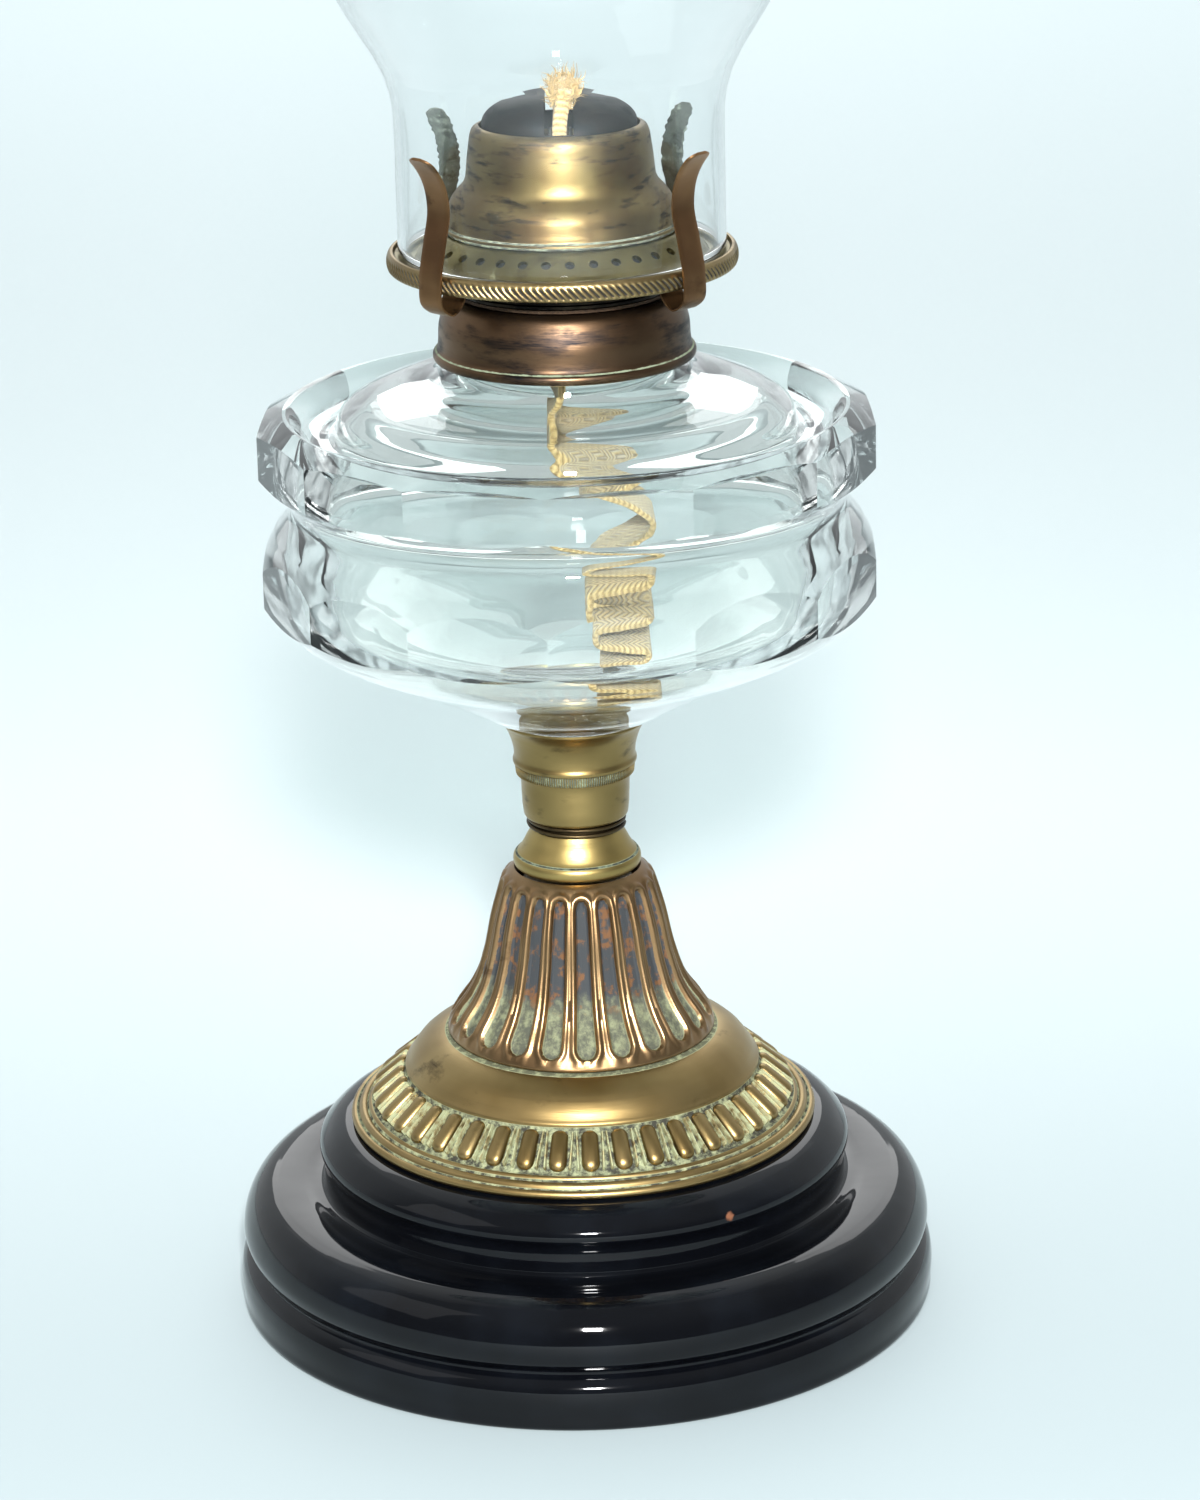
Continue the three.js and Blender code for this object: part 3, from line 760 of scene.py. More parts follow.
class Finishes:
    """Every finish on the lamp, built once."""

    def __init__(self) -> None:
        """Builds the materials."""
        # Black glaze on earthenware: a wet black with sharp lights
        self.glaze = Glaze().material()
        # Pressed brass, often wiped: warm gold on what stands up, dry grey-green in the hollows
        self.foot = AgedMetal(
            "pressed_brass_foot", bright="#a58f62", dull="#806a41", dark="#3b2f20", crust="#979c79",
            pit="#2f2e25", tarnish=0.08, bloom=0.02, sheen=0.38,
        ).material()
        # Pressed brass, browner than the foot: coppery ribs between dark, crusted flutes
        self.bell = FlutedMetal(
            "pressed_brass_bell", bright="#a08460", dull="#7d6244", dark="#4a3626", tarnish=0.16,
            bloom=0.02, sheen=0.34, crust="#787c60", pit="#484a3e", slate="#2f3336",
        ).material()
        # Turned yellow brass, the cleanest metal on the lamp: a clear yellow with fine lathe lines
        self.knop = AgedMetal(
            "turned_yellow_brass", bright="#b09b63", dull="#8c7846", dark="#4a3d22", tarnish=0.1,
            bloom=0.02, sheen=0.38, lines=0.3,
        ).material()
        # Turned brass with a thin brown film: duller than the knop, streaked round its axis
        self.cup = AgedMetal(
            "turned_brass_cup", bright="#998354", dull="#78663f", dark="#3f3625", tarnish=0.16,
            bloom=0.02, sheen=0.34, lines=0.3, squash=1.6,
        ).material()
        # A thread that was never polished: nearly black-brown, with faint metal on its crests
        self.thread = AgedMetal(
            "oxidised_thread", bright="#5f5138", dull="#3f3424", dark="#1d1813", tarnish=0.5, sheen=0.4,
        ).material()
        # Brass with a bronzed skin: brown and purple-black clouds that run round the collar
        self.collar = AgedMetal(
            "bronzed_collar", bright="#7a6048", dull="#4d3d2f", dark="#1e1d1f", tarnish=0.42, bloom=0.0,
            cloud=14.0, sheen=0.36, lines=0.35, squash=2.0,
        ).material()
        # Burner drum and skirt brass, painted near black to stand in for the shade under the gallery, with a
        # weak metal light
        self.drum = AgedMetal(
            "heat_blackened_brass", bright="#3a3228", dull="#221f1c", dark="#0f0f11", tarnish=0.5,
            bloom=0.0, sheen=0.4,
        ).material()
        # Sheet brass gone olive, with small specks of green
        self.plate = AgedMetal(
            "gallery_brass", bright="#867b55", dull="#5f5739", dark="#38311f", crust="#8f9780",
            tarnish=0.34, bloom=0.16, cloud=6.0, sheen=0.38,
        ).material()
        # Rolled brass edge: gold on the high strokes, black dirt between them
        self.rope = AgedMetal(
            "rolled_edge_brass", bright="#a18c62", dull="#786746", dark="#3e3222", pit="#14120f",
            crust="#2a261e", tarnish=0.25, bloom=0.0, sheen=0.36,
        ).material()
        # Spun brass stained by heat: olive and brown bands that run round it
        self.cone = AgedMetal(
            "spun_brass_cone", bright="#84734e", dull="#5f4b31", dark="#262020", crust="#74796a",
            tarnish=0.32, bloom=0.12, cloud=5.0, sheen=0.38, lines=0.5, squash=2.6,
        ).material()
        # Brass burnt by the flame: blue-black and almost matte
        self.dome = AgedMetal(
            "fire_blued_dome", bright="#2a2420", dull="#1a191b", dark="#0f1215", crust="#40443b",
            tarnish=0.5, bloom=0.05, cloud=5.0, sheen=0.5,
        ).material()
        # Spring brass handled for years: an even coppery brown
        self.prong = AgedMetal(
            "spring_brass", bright="#94704c", dull="#6d5037", dark="#3f2e20", tarnish=0.25, bloom=0.0,
            cloud=8.0, sheen=0.38,
        ).material()
        # Spring brass that has corroded: rough and grey-green all over
        self.grey_prong = AgedMetal(
            "corroded_spring_brass", bright="#6d7067", dull="#53564f", dark="#33322c", crust="#878d80",
            tarnish=0.4, bloom=0.38, cloud=4.0, speck=1.2, sheen=0.45, bump=0.2,
        ).material()
        # Brass under soot: dark olive-brown
        self.tube = AgedMetal(
            "sooty_tube_brass", bright="#54452d", dull="#362d20", dark="#15130f", tarnish=0.45,
            bloom=0.02, sheen=0.4,
        ).material()
        # Tarnished brass under the glass: a near-black olive disc
        self.plate_disc = AgedMetal(
            "tarnished_disc", bright="#3f3a2c", dull="#2b2b25", dark="#121416", tarnish=0.5, bloom=0.04,
            sheen=0.35,
        ).material()
        # Turned steel: a plain grey with some rust
        self.steel = AgedMetal(
            "turned_steel", bright="#8a8a8c", dull="#6a6a6c", dark="#3a3432", crust="#6b4a35",
            tarnish=0.25, bloom=0.08, sheen=0.35,
        ).material()
        # Pressed and cut flint glass: bright edges, and a low bend of light so that the wick shows
        self.font = ClearGlass(
            "cut_flint_glass", tint="#edf2f0", ior=1.22, wave=26.0, wave_depth=0.1, skin=1.0,
            shade="#dce2e1",
        ).material()
        # Blown glass: almost nothing but its rims and soft lights
        self.chimney = ClearGlass(
            "blown_glass", tint="#fbfdfd", ior=1.47, wave=40.0, wave_depth=0.2,
        ).material()
        # Woven cotton: matte tan ribs
        self.cotton = WovenCotton().material()
        # Cast plaster: matte off-white
        self.plaster = DrySolid("cast_plaster", "#d8d2c4", "#b7b0a1").material()
        # Plaster soaked with lamp oil: matte brown
        self.stained = DrySolid("oil_stained_plaster", "#8d7848", "#675531").material()
        # Painted shade: a matte black that takes no light, for the lining under the air holes
        self.soot = DrySolid("soot", "#0d0c0b", "#070707", bump=0.05).material()
        # Leather: matte dark brown with a fine grain
        self.leather = DrySolid("leather_washer", "#5b4430", "#35271b", grain=0.6).material()


# ---------------------------------------------------------------- the lamp's sub-assemblies
@dataclass
class Plinth:
    """The stepped, hollow plinth of black glazed earthenware."""

    sides: int = 224
    wall: float = 6.2

    def outline(self) -> list[Point]:
        """The plinth's section, in mm."""
        band = smooth([(82.4, 0.0), (83.2, 0.7), (83.4, 3.0), (83.5, 8.5), (83.0, 10.6), (82.0, 11.9)], 0.7)
        groove = smooth([(81.0, 12.5), (80.35, 13.0), (80.4, 13.9), (81.3, 14.7)], 0.4)
        bulge = smooth(
            [
                (82.1, 16.0), (82.6, 18.2), (82.4, 20.5), (81.4, 23.6), (79.6, 26.4), (77.0, 28.3),
                (73.5, 29.2),
            ],
            0.8,
        )
        shelf = smooth([(68.0, 29.1), (64.4, 28.8), (63.0, 29.1), (62.6, 30.2)], 0.5)
        side = smooth([(62.6, 32.0), (62.6, 36.0), (62.9, 36.8), (63.5, 37.6), (63.5, 39.2)], 0.6)
        crown = smooth([(63.1, 40.2), (62.2, 41.2), (59.8, 43.2), (57.4, 44.2), (54.0, 44.7)], 0.6)
        bore = [(5.0, 44.7), (4.3, 44.2), (4.3, 38.9), (5.0, 38.5)]
        inside = [
            (53.0, 38.5), (55.6, 37.6), (56.4, 35.0), (56.4, 25.4), (58.0, 22.9), (71.5, 21.9),
            (75.3, 19.4),
        ]
        return [
            *band, *groove, *bulge, *shelf, *side, *crown, *bore, *inside, (76.0, 16.0), (76.0, 2.0),
            (75.2, 0.0),
        ]

    def build(self, finishes: Finishes) -> None:
        """Builds the plinth and dresses its fixings."""
        mesh = lathe(self.outline(), self.sides)
        place("glazed_plinth", mesh, finishes.glaze, "base", "glazed_ceramic", "plinth")
        dress(finishes.steel, "tie_bolt", "base_washer", "base_nut")
        dress(finishes.plaster, "foot_plaster", "cup_plaster")
        dress(finishes.stained, "collar_plaster")


@dataclass
class PressedFoot:
    """The wide pressed foot, with its ring of eggs between two beads and a plain ogee."""

    sides: int = 240
    eggs: int = 40
    egg_size: tuple[float, float, float] = (10.4, 4.3, 1.45)
    dart_size: tuple[float, float, float] = (9.6, 0.72, 1.15)
    start: float = 2.0

    def outline(self) -> list[Point]:
        """The foot's section, in mm."""
        bead_low = smooth(
            [(55.2, 45.0), (55.6, 45.5), (55.5, 46.3), (54.9, 46.8), (54.3, 46.7), (54.0, 46.4)], 0.3,
        )
        bead_high = smooth([(53.8, 46.8), (53.5, 47.5), (52.9, 47.95), (52.2, 47.9), (51.8, 47.6)], 0.3)
        rim = smooth([(51.5, 48.1), (51.1, 48.7), (50.3, 48.9)], 0.3)
        band = smooth([(49.7, 49.4), (48.9, 50.6), (46.6, 53.0), (44.4, 55.0), (42.6, 56.5)], 0.5)
        lip = smooth([(42.3, 57.2), (42.3, 57.9), (41.7, 58.7), (40.6, 60.4)], 0.3)
        ogee = smooth(
            [(39.3, 62.1), (37.4, 63.7), (34.8, 65.1), (32.4, 65.9), (30.4, 66.2), (28.4, 66.2)], 0.6,
        )
        inner = [
            (28.4, 65.4), (33.6, 64.4), (38.4, 61.4), (40.4, 57.6), (45.4, 53.0), (48.6, 49.6),
            (49.4, 48.0), (53.8, 45.0),
        ]
        return [*bead_low, *bead_high, *rim, *band, *lip, *ogee, *inner]

    def hollow(self, spot: Vector) -> float:
        """How far a point lies out of reach of a polishing cloth, from 0 to 1."""
        r = math.hypot(spot.x, spot.y)
        in_band = 41.9 < r < 50.6 and 48.6 < spot.z < 57.3
        in_groove = abs(r - 54.05) < 0.28 or abs(r - 51.65) < 0.3
        seam = r < 32.6 and spot.z > 65.0
        return 0.85 if in_band else 0.8 if in_groove else 0.75 if seam else 0.0

    def on_band(
        self, size: tuple[float, float, float], lean: float = 0.0, shift: float = 0.0,
    ) -> bmesh.types.BMesh:
        """A bead laid on the sloping band.

        Args:
            size: Its length, width and height in mm.
            lean: Degrees that it leans across the slope.
            shift: How far it lies beside the middle, in mm.

        Returns:
            The bead.
        """
        unit = bead(*size)
        slope = Matrix.Rotation(math.radians(41.0), 4, "Y")
        across = Matrix.Rotation(math.radians(lean), 4, "Z")
        move = Matrix.Translation(Vector((46.35, shift, 53.15)) * MM)
        unit.transform(move @ slope @ across)
        return unit

    def build(self, finishes: Finishes) -> None:
        """Builds the foot with its eggs and darts."""
        mesh = tag(lathe(self.outline(), self.sides), "hollow", self.hollow)
        pitch = 360 / self.eggs
        first = self.start - 90
        mesh = ring_of(mesh, self.on_band(self.egg_size), self.eggs, first, finishes.foot)
        for lean, shift in ((3.4, 0.72), (-3.4, -0.72)):
            unit = self.on_band(self.dart_size, lean, shift)
            mesh = ring_of(mesh, unit, self.eggs, first + pitch / 2, finishes.foot, hollow=0.5)
        place("pressed_foot", mesh, finishes.foot, "base", "aged_brass", "ogee_foot", sharp=50)


@dataclass
class FlutedBell:
    """The bell pressed with sunk flutes, which have round ends and stand between round ribs."""

    flutes: int = 22
    steps: int = 20
    depth: float = 1.15
    lip: float = 0.5
    low: float = 69.2
    high: float = 104.0
    share: float = 0.285
    start: float = 2.5

    def face(self) -> list[Point]:
        """The face that shows, from its base up, in mm."""
        base = smooth([(31.4, 66.5), (31.8, 66.9), (31.6, 67.6)], 0.3)
        flank = [
            (30.9, 69.0), (28.9, 72.2), (26.7, 75.2), (24.9, 78.4), (22.3, 86.0), (20.1, 96.0),
            (18.4, 102.0),
        ]
        top = smooth([(17.9, 103.6), (17.2, 104.9), (16.2, 106.1), (15.0, 106.9)], 0.4)
        return [*base, *smooth(flank, 0.45), *top]

    def back(self) -> list[Point]:
        """The hidden face, from its top down, in mm. It stays clear of the flutes."""
        return [
            (14.2, 105.6), (15.0, 104.4), (17.2, 96.0), (19.2, 86.0), (22.3, 78.0), (26.2, 71.6),
            (29.4, 66.5),
        ]

    def tree(self) -> GrowthTree:
        """The rule that sinks the flutes, round-ended slots whose width goes with the radius."""
        grow = GrowthTree(
            "sunk_flutes",
            flutes=self.flutes,
            start=math.radians(self.start),
            low=self.low * MM,
            high=self.high * MM,
            share=self.share,
            depth=self.depth * MM,
            lip=self.lip * MM,
        )
        tree = grow.tree
        x, y, z = add(tree, "ShaderNodeSeparateXYZ", [add(tree, "GeometryNodeInputPosition")]).outputs
        back = add(tree, "ShaderNodeMath", [y, -1.0], operation="MULTIPLY")
        angle = add(tree, "ShaderNodeMath", [x, back], operation="ARCTAN2")
        turn = add(tree, "ShaderNodeMath", [angle, grow.size("start")], operation="SUBTRACT")
        flat = add(tree, "ShaderNodeCombineXYZ", {"X": x, "Y": y})
        r = add(tree, "ShaderNodeVectorMath", [flat], operation="LENGTH").outputs["Value"]
        # Each point's place beside the middle of its flute
        pitch = add(tree, "ShaderNodeMath", [math.tau, grow.size("flutes")], operation="DIVIDE")
        half_pitch = add(tree, "ShaderNodeMath", [pitch, 0.5], operation="MULTIPLY")
        other_half = add(tree, "ShaderNodeMath", [pitch, -0.5], operation="MULTIPLY")
        local = add(tree, "ShaderNodeMath", [turn, half_pitch, other_half], operation="WRAP")
        side = add(tree, "ShaderNodeMath", [local, r], operation="MULTIPLY")
        wide = add(tree, "ShaderNodeMath", [pitch, r], operation="MULTIPLY")
        half = add(tree, "ShaderNodeMath", [wide, grow.size("share")], operation="MULTIPLY")
        # How far it lies past the middles of the round ends
        low_middle = add(tree, "ShaderNodeMath", [grow.size("low"), half], operation="ADD")
        under = add(tree, "ShaderNodeMath", [low_middle, z], operation="SUBTRACT")
        over_top = add(tree, "ShaderNodeMath", [z, grow.size("high")], operation="SUBTRACT")
        above = add(tree, "ShaderNodeMath", [over_top, half], operation="ADD")
        beyond = add(tree, "ShaderNodeMath", [under, above], operation="MAXIMUM")
        past = add(tree, "ShaderNodeMath", [beyond, 0.0], operation="MAXIMUM")
        far = add(tree, "ShaderNodeCombineXYZ", {"X": side, "Y": past})
        reach = add(tree, "ShaderNodeVectorMath", [far], operation="LENGTH").outputs["Value"]
        edge = add(tree, "ShaderNodeMath", [reach, half], operation="SUBTRACT")
        # The floor is sunk, and the metal pushed out of it stands up as a lip
        inside = {"Value": edge, "From Min": -0.4 * MM, "From Max": 0.05 * MM, "To Min": 1.0, "To Max": 0.0}
        sunk = add(tree, "ShaderNodeMapRange", inside, interpolation_type="SMOOTHSTEP")
        rise = {"Value": edge, "From Min": 0.0, "From Max": 0.55 * MM}
        fall = {"Value": edge, "From Min": 0.75 * MM, "From Max": 1.9 * MM, "To Min": 1.0, "To Max": 0.0}
        up = add(tree, "ShaderNodeMapRange", rise, interpolation_type="SMOOTHSTEP")
        down = add(tree, "ShaderNodeMapRange", fall, interpolation_type="SMOOTHSTEP")
        ridge = add(tree, "ShaderNodeMath", [up, down], operation="MULTIPLY")
        raised = add(tree, "ShaderNodeMath", [ridge, grow.size("lip")], operation="MULTIPLY")
        dropped = add(tree, "ShaderNodeMath", [sunk, grow.size("depth")], operation="MULTIPLY")
        pressed = add(tree, "ShaderNodeMath", [raised, dropped], operation="SUBTRACT")
        outer = add(tree, "GeometryNodeInputNamedAttribute", {"Name": "outer"}, data_type="FLOAT")
        moved = add(tree, "ShaderNodeMath", [pressed, outer], operation="MULTIPLY")
        push = {0: add(tree, "GeometryNodeInputNormal"), "Scale": moved}
        way = add(tree, "ShaderNodeVectorMath", push, operation="SCALE")
        hollow = add(tree, "ShaderNodeMath", [sunk, outer], operation="MULTIPLY")
        held = {"Geometry": grow.base, "Name": "hollow", "Value": hollow}
        stored = add(tree, "GeometryNodeStoreNamedAttribute", held, data_type="FLOAT", domain="POINT")
        grow.close(add(tree, "GeometryNodeSetPosition", {"Geometry": stored, "Offset": way}))
        return grow

    def build(self, finishes: Finishes) -> None:
        """Builds the bell."""
        face, sides = self.face(), self.flutes * self.steps
        base = lathe([*face, *self.back()], sides)
        # The lathe adds its rings in order, so the face's points come first
        shows = [float(i < len(face) * sides) for i in range(len(base.vertices))]
        base.attributes.new("outer", "FLOAT", "POINT").data.foreach_set("value", shows)
        mesh = self.tree().grow(base, finishes.bell)
        place("fluted_brass_bell", mesh, finishes.bell, "base", "aged_brass", "fluted_bell", sharp=60)


@dataclass
class Stem:
    """The turned knop, the stud's bare thread, and the cup that the font stands in."""

    sides: int = 160
    knurls: int = 150
    thread_pitch: float = 1.4
    thread_low: float = 117.1
    thread_radius: float = 11.25

    def build(self, finishes: Finishes) -> None:
        """Builds the three turned pieces."""
        bulge = smooth([(14.3, 107.2), (14.75, 107.6), (15.1, 108.8), (14.9, 110.0), (14.5, 110.5)], 0.3)
        neck = smooth(
            [(14.2, 110.7), (13.7, 111.2), (12.9, 112.4), (11.8, 114.5), (11.0, 115.8), (10.5, 116.7)],
            0.4,
        )
        knop = lathe([(9.6, 107.2), *bulge, (14.1, 110.55), *neck, (9.6, 116.8)], self.sides)
        in_groove = lambda s: 0.9 if abs(s.z - 110.6) < 0.12 and math.hypot(s.x, s.y) > 13 else 0.0
        place("turned_knop", tag(knop, "hollow", in_groove), finishes.knop, "base", "aged_brass", "knop")
        self.stud(finishes)
        self.cup(finishes)

    def stud(self, finishes: Finishes) -> None:
        """The stud, with one bare turn of its thread."""
        shank = [
            (3.2, 107.2), (9.3, 107.2), (9.3, 117.1), (10.7, 117.1), (10.7, 126.6), (10.4, 127.0),
            (3.2, 127.0),
        ]
        grow = GrowthTree(
            "thread", turns=1.55, pitch=self.thread_pitch * MM, radius=self.thread_radius * MM, low=(
                self.thread_low + 0.15
            ) * MM
        )
        tree = grow.tree
        rise = [grow.size("turns"), grow.size("pitch")]
        tall = add(tree, "ShaderNodeMath", rise, operation="MULTIPLY")
        path = {
            "Resolution": 96,
            "Rotations": grow.size("turns"),
            "Start Radius": grow.size("radius"),
            "End Radius": grow.size("radius"),
            "Height": tall,
        }
        spiral = add(tree, "GeometryNodeCurveSpiral", path)
        wire = {"Resolution": 8, "Radius": 0.5 * MM}
        section = add(tree, "GeometryNodeCurvePrimitiveCircle", wire, mode="RADIUS")
        swept = {"Curve": spiral, "Profile Curve": section, "Fill Caps": True}
        ridge = add(tree, "GeometryNodeCurveToMesh", swept)
        lift = add(tree, "ShaderNodeCombineXYZ", {"Z": grow.size("low")})
        raised = add(tree, "GeometryNodeTransform", {"Geometry": ridge, "Translation": lift})
        grow.close(raised, with_base=True)
        mesh = grow.grow(lathe(shank, 96), finishes.thread)
        place("threaded_stud", mesh, finishes.thread, "base", "dark_brass", "stem_stud", sharp=50)

    def cup(self, finishes: Finishes) -> None:
        """The cup, with its band of fine knurling."""
        lower = smooth(
            [(11.6, 119.7), (12.1, 120.0), (12.4, 121.3), (12.7, 125.6), (12.95, 129.6), (13.1, 130.2)],
            0.5,
        )
        band = smooth([(13.55, 130.5), (13.8, 131.0), (13.95, 132.2), (13.9, 132.7)], 0.3)
        upper = smooth(
            [(14.5, 133.1), (14.6, 133.6), (14.3, 134.6), (14.3, 136.0), (14.9, 139.0), (15.6, 141.0)],
            0.4,
        )
        flare = smooth([(16.4, 142.5), (17.1, 143.2), (17.35, 143.6), (17.1, 143.95), (16.6, 143.9)], 0.3)
        inside = [(15.4, 142.0), (14.1, 139.0), (13.4, 134.0), (12.4, 130.6), (11.3, 127.0), (11.3, 119.7)]
        mesh = lathe([*lower, *band, *upper, *flare, *inside], self.sides)
        tag(mesh, "hollow", lambda s: 0.75 if 130.4 < s.z < 132.8 and math.hypot(s.x, s.y) > 13.3 else 0.0)
        rib = bead(2.5, 0.3, 0.22, rings=5, sides=6)
        stand = Matrix.Translation(
            Vector((13.86, 0, 131.6)) * MM
        ) @ Matrix.Rotation(math.radians(-84), 4, "Y")
        rib.transform(stand)
        mesh = ring_of(mesh, rib, self.knurls, 0.0, finishes.cup)
        place("turned_cup", mesh, finishes.cup, "font", "aged_brass", "font_cup", sharp=40)
        dress(finishes.leather, "cup_washer", "collar_gasket")
        dress(finishes.plate_disc, "cup_plate")


@dataclass
class Font:
    """The glass font: a deep bowl with two rings of cut panels, and the collar plastered on its neck."""

    sides: int = 252
    corners: tuple[float, ...] = (-80, -54.5, -30, -4, 22.5, 50.5, 79)
    panels: int = 14
    radius: float = 71.3

    def outline(self) -> list[Point]:
        """The glass's section, in mm."""
        under = smooth([(14.6, 142.6), (15.2, 143.2), (16.4, 144.2), (17.6, 144.6)], 0.6)
        bowl = smooth([(21.0, 145.7), (28.6, 150.0), (44.0, 158.0), (62.6, 167.2), (66.2, 169.8)], 1.6)
        lower = smooth(
            [(70.6, 174.4), (71.6, 175.6), (72.0, 177.2), (72.0, 181.0), (70.8, 185.2), (67.6, 191.6)],
            1.0,
        )
        groove = smooth(
            [(64.9, 194.6), (63.9, 196.2), (63.7, 197.4), (64.0, 198.8), (65.0, 200.4), (67.2, 202.4)],
            0.7,
        )
        upper = smooth([(70.4, 204.9), (71.6, 205.9), (72.0, 207.2), (72.0, 214.6)], 1.0)
        bevel = [(71.6, 215.5), (65.5, 218.6)]
        crest = smooth(
            [(64.9, 218.85), (64.2, 218.7), (62.4, 217.0), (60.2, 213.9), (58.4, 212.9), (56.4, 212.7)],
            0.6,
        )
        channel = smooth(
            [(54.6, 213.1), (53.4, 214.2), (52.6, 216.4), (51.8, 218.2), (50.4, 219.6), (46.0, 222.3)],
            0.7,
        )
        dome = smooth([(38.0, 225.0), (31.0, 226.5), (29.2, 227.6), (28.7, 229.2), (28.2, 229.9)], 0.9)
        neck = [(25.6, 229.95), (25.6, 241.6), (25.2, 241.9), (22.8, 241.9), (22.4, 241.5), (22.4, 231.4)]
        ceiling = smooth(
            [
                (22.6, 229.4), (24.4, 227.0), (34.0, 222.2), (46.0, 218.2), (51.0, 214.0), (54.6, 208.0),
                (56.6, 202.0),
            ],
            0.8,
        )
        wall = smooth(
            [
                (57.4, 190.0), (57.4, 178.0), (56.4, 172.6), (53.4, 168.4), (46.0, 163.8), (28.0, 156.2),
                (16.0, 153.0),
            ],
            0.9,
        )
        return [
            (0, 142.6), *under, *bowl, *lower, *groove, *upper, *bevel, *crest, *channel, *dome, *neck,
            *ceiling, *wall, (0, 152.4),
        ]

    def prism(self) -> bpy.types.Mesh:
        """The many-sided prism that the panels are cut to, its corners listed in front and even behind."""
        step = (self.corners[0] + 360 - self.corners[-1]) / (self.panels - len(self.corners) + 1)
        rest = [self.corners[-1] + step * (i + 1) for i in range(self.panels - len(self.corners))]
        turns = [math.radians(a - 90) for a in (*self.corners, *rest)]
        bm = bmesh.new()
        rings = []
        reach = self.radius * MM
        for z in (130.0, 255.0):
            rings.append([bm.verts.new((reach * math.cos(a), reach * math.sin(a), z * MM)) for a in turns])
        for i in range(self.panels):
            j = (i + 1) % self.panels
            bm.faces.new([rings[0][i], rings[0][j], rings[1][j], rings[1][i]])
        bm.faces.new(rings[0][::-1])
        bm.faces.new(rings[1])
        return from_bmesh(bm)

    def build(self, finishes: Finishes) -> None:
        """Cuts the font and turns its collar."""
        mesh = carve(lathe(self.outline(), self.sides), self.prism(), "INTERSECT")
        place("cut_glass_font", mesh, finishes.font, "font", "cut_glass", "font_glass", sharp=20)
        lip = smooth([(28.6, 230.3), (29.6, 230.35), (29.95, 230.8), (29.9, 232.0), (29.3, 232.6)], 0.3)
        side = smooth(
            [(28.95, 233.1), (28.8, 234.4), (28.5, 238.6), (27.4, 242.3), (26.3, 244.4), (25.3, 245.2)],
            0.6,
        )
        inner = [
            (20.7, 245.2), (20.7, 234.0), (21.6, 234.0), (21.6, 244.2), (24.8, 244.2), (26.5, 241.8),
            (27.5, 238.6), (27.9, 233.4), (28.6, 232.0),
        ]
        collar = lathe([*lip, *side, *inner], 192)
        near_flange = lambda s: 0.55 if 232.3 < s.z < 233.0 and math.hypot(s.x, s.y) > 28.7 else 0.0
        place(
            "bronzed_collar_ring", tag(collar, "hollow", near_flange), finishes.collar, "font",
            "dark_brass", "font_collar",
        )


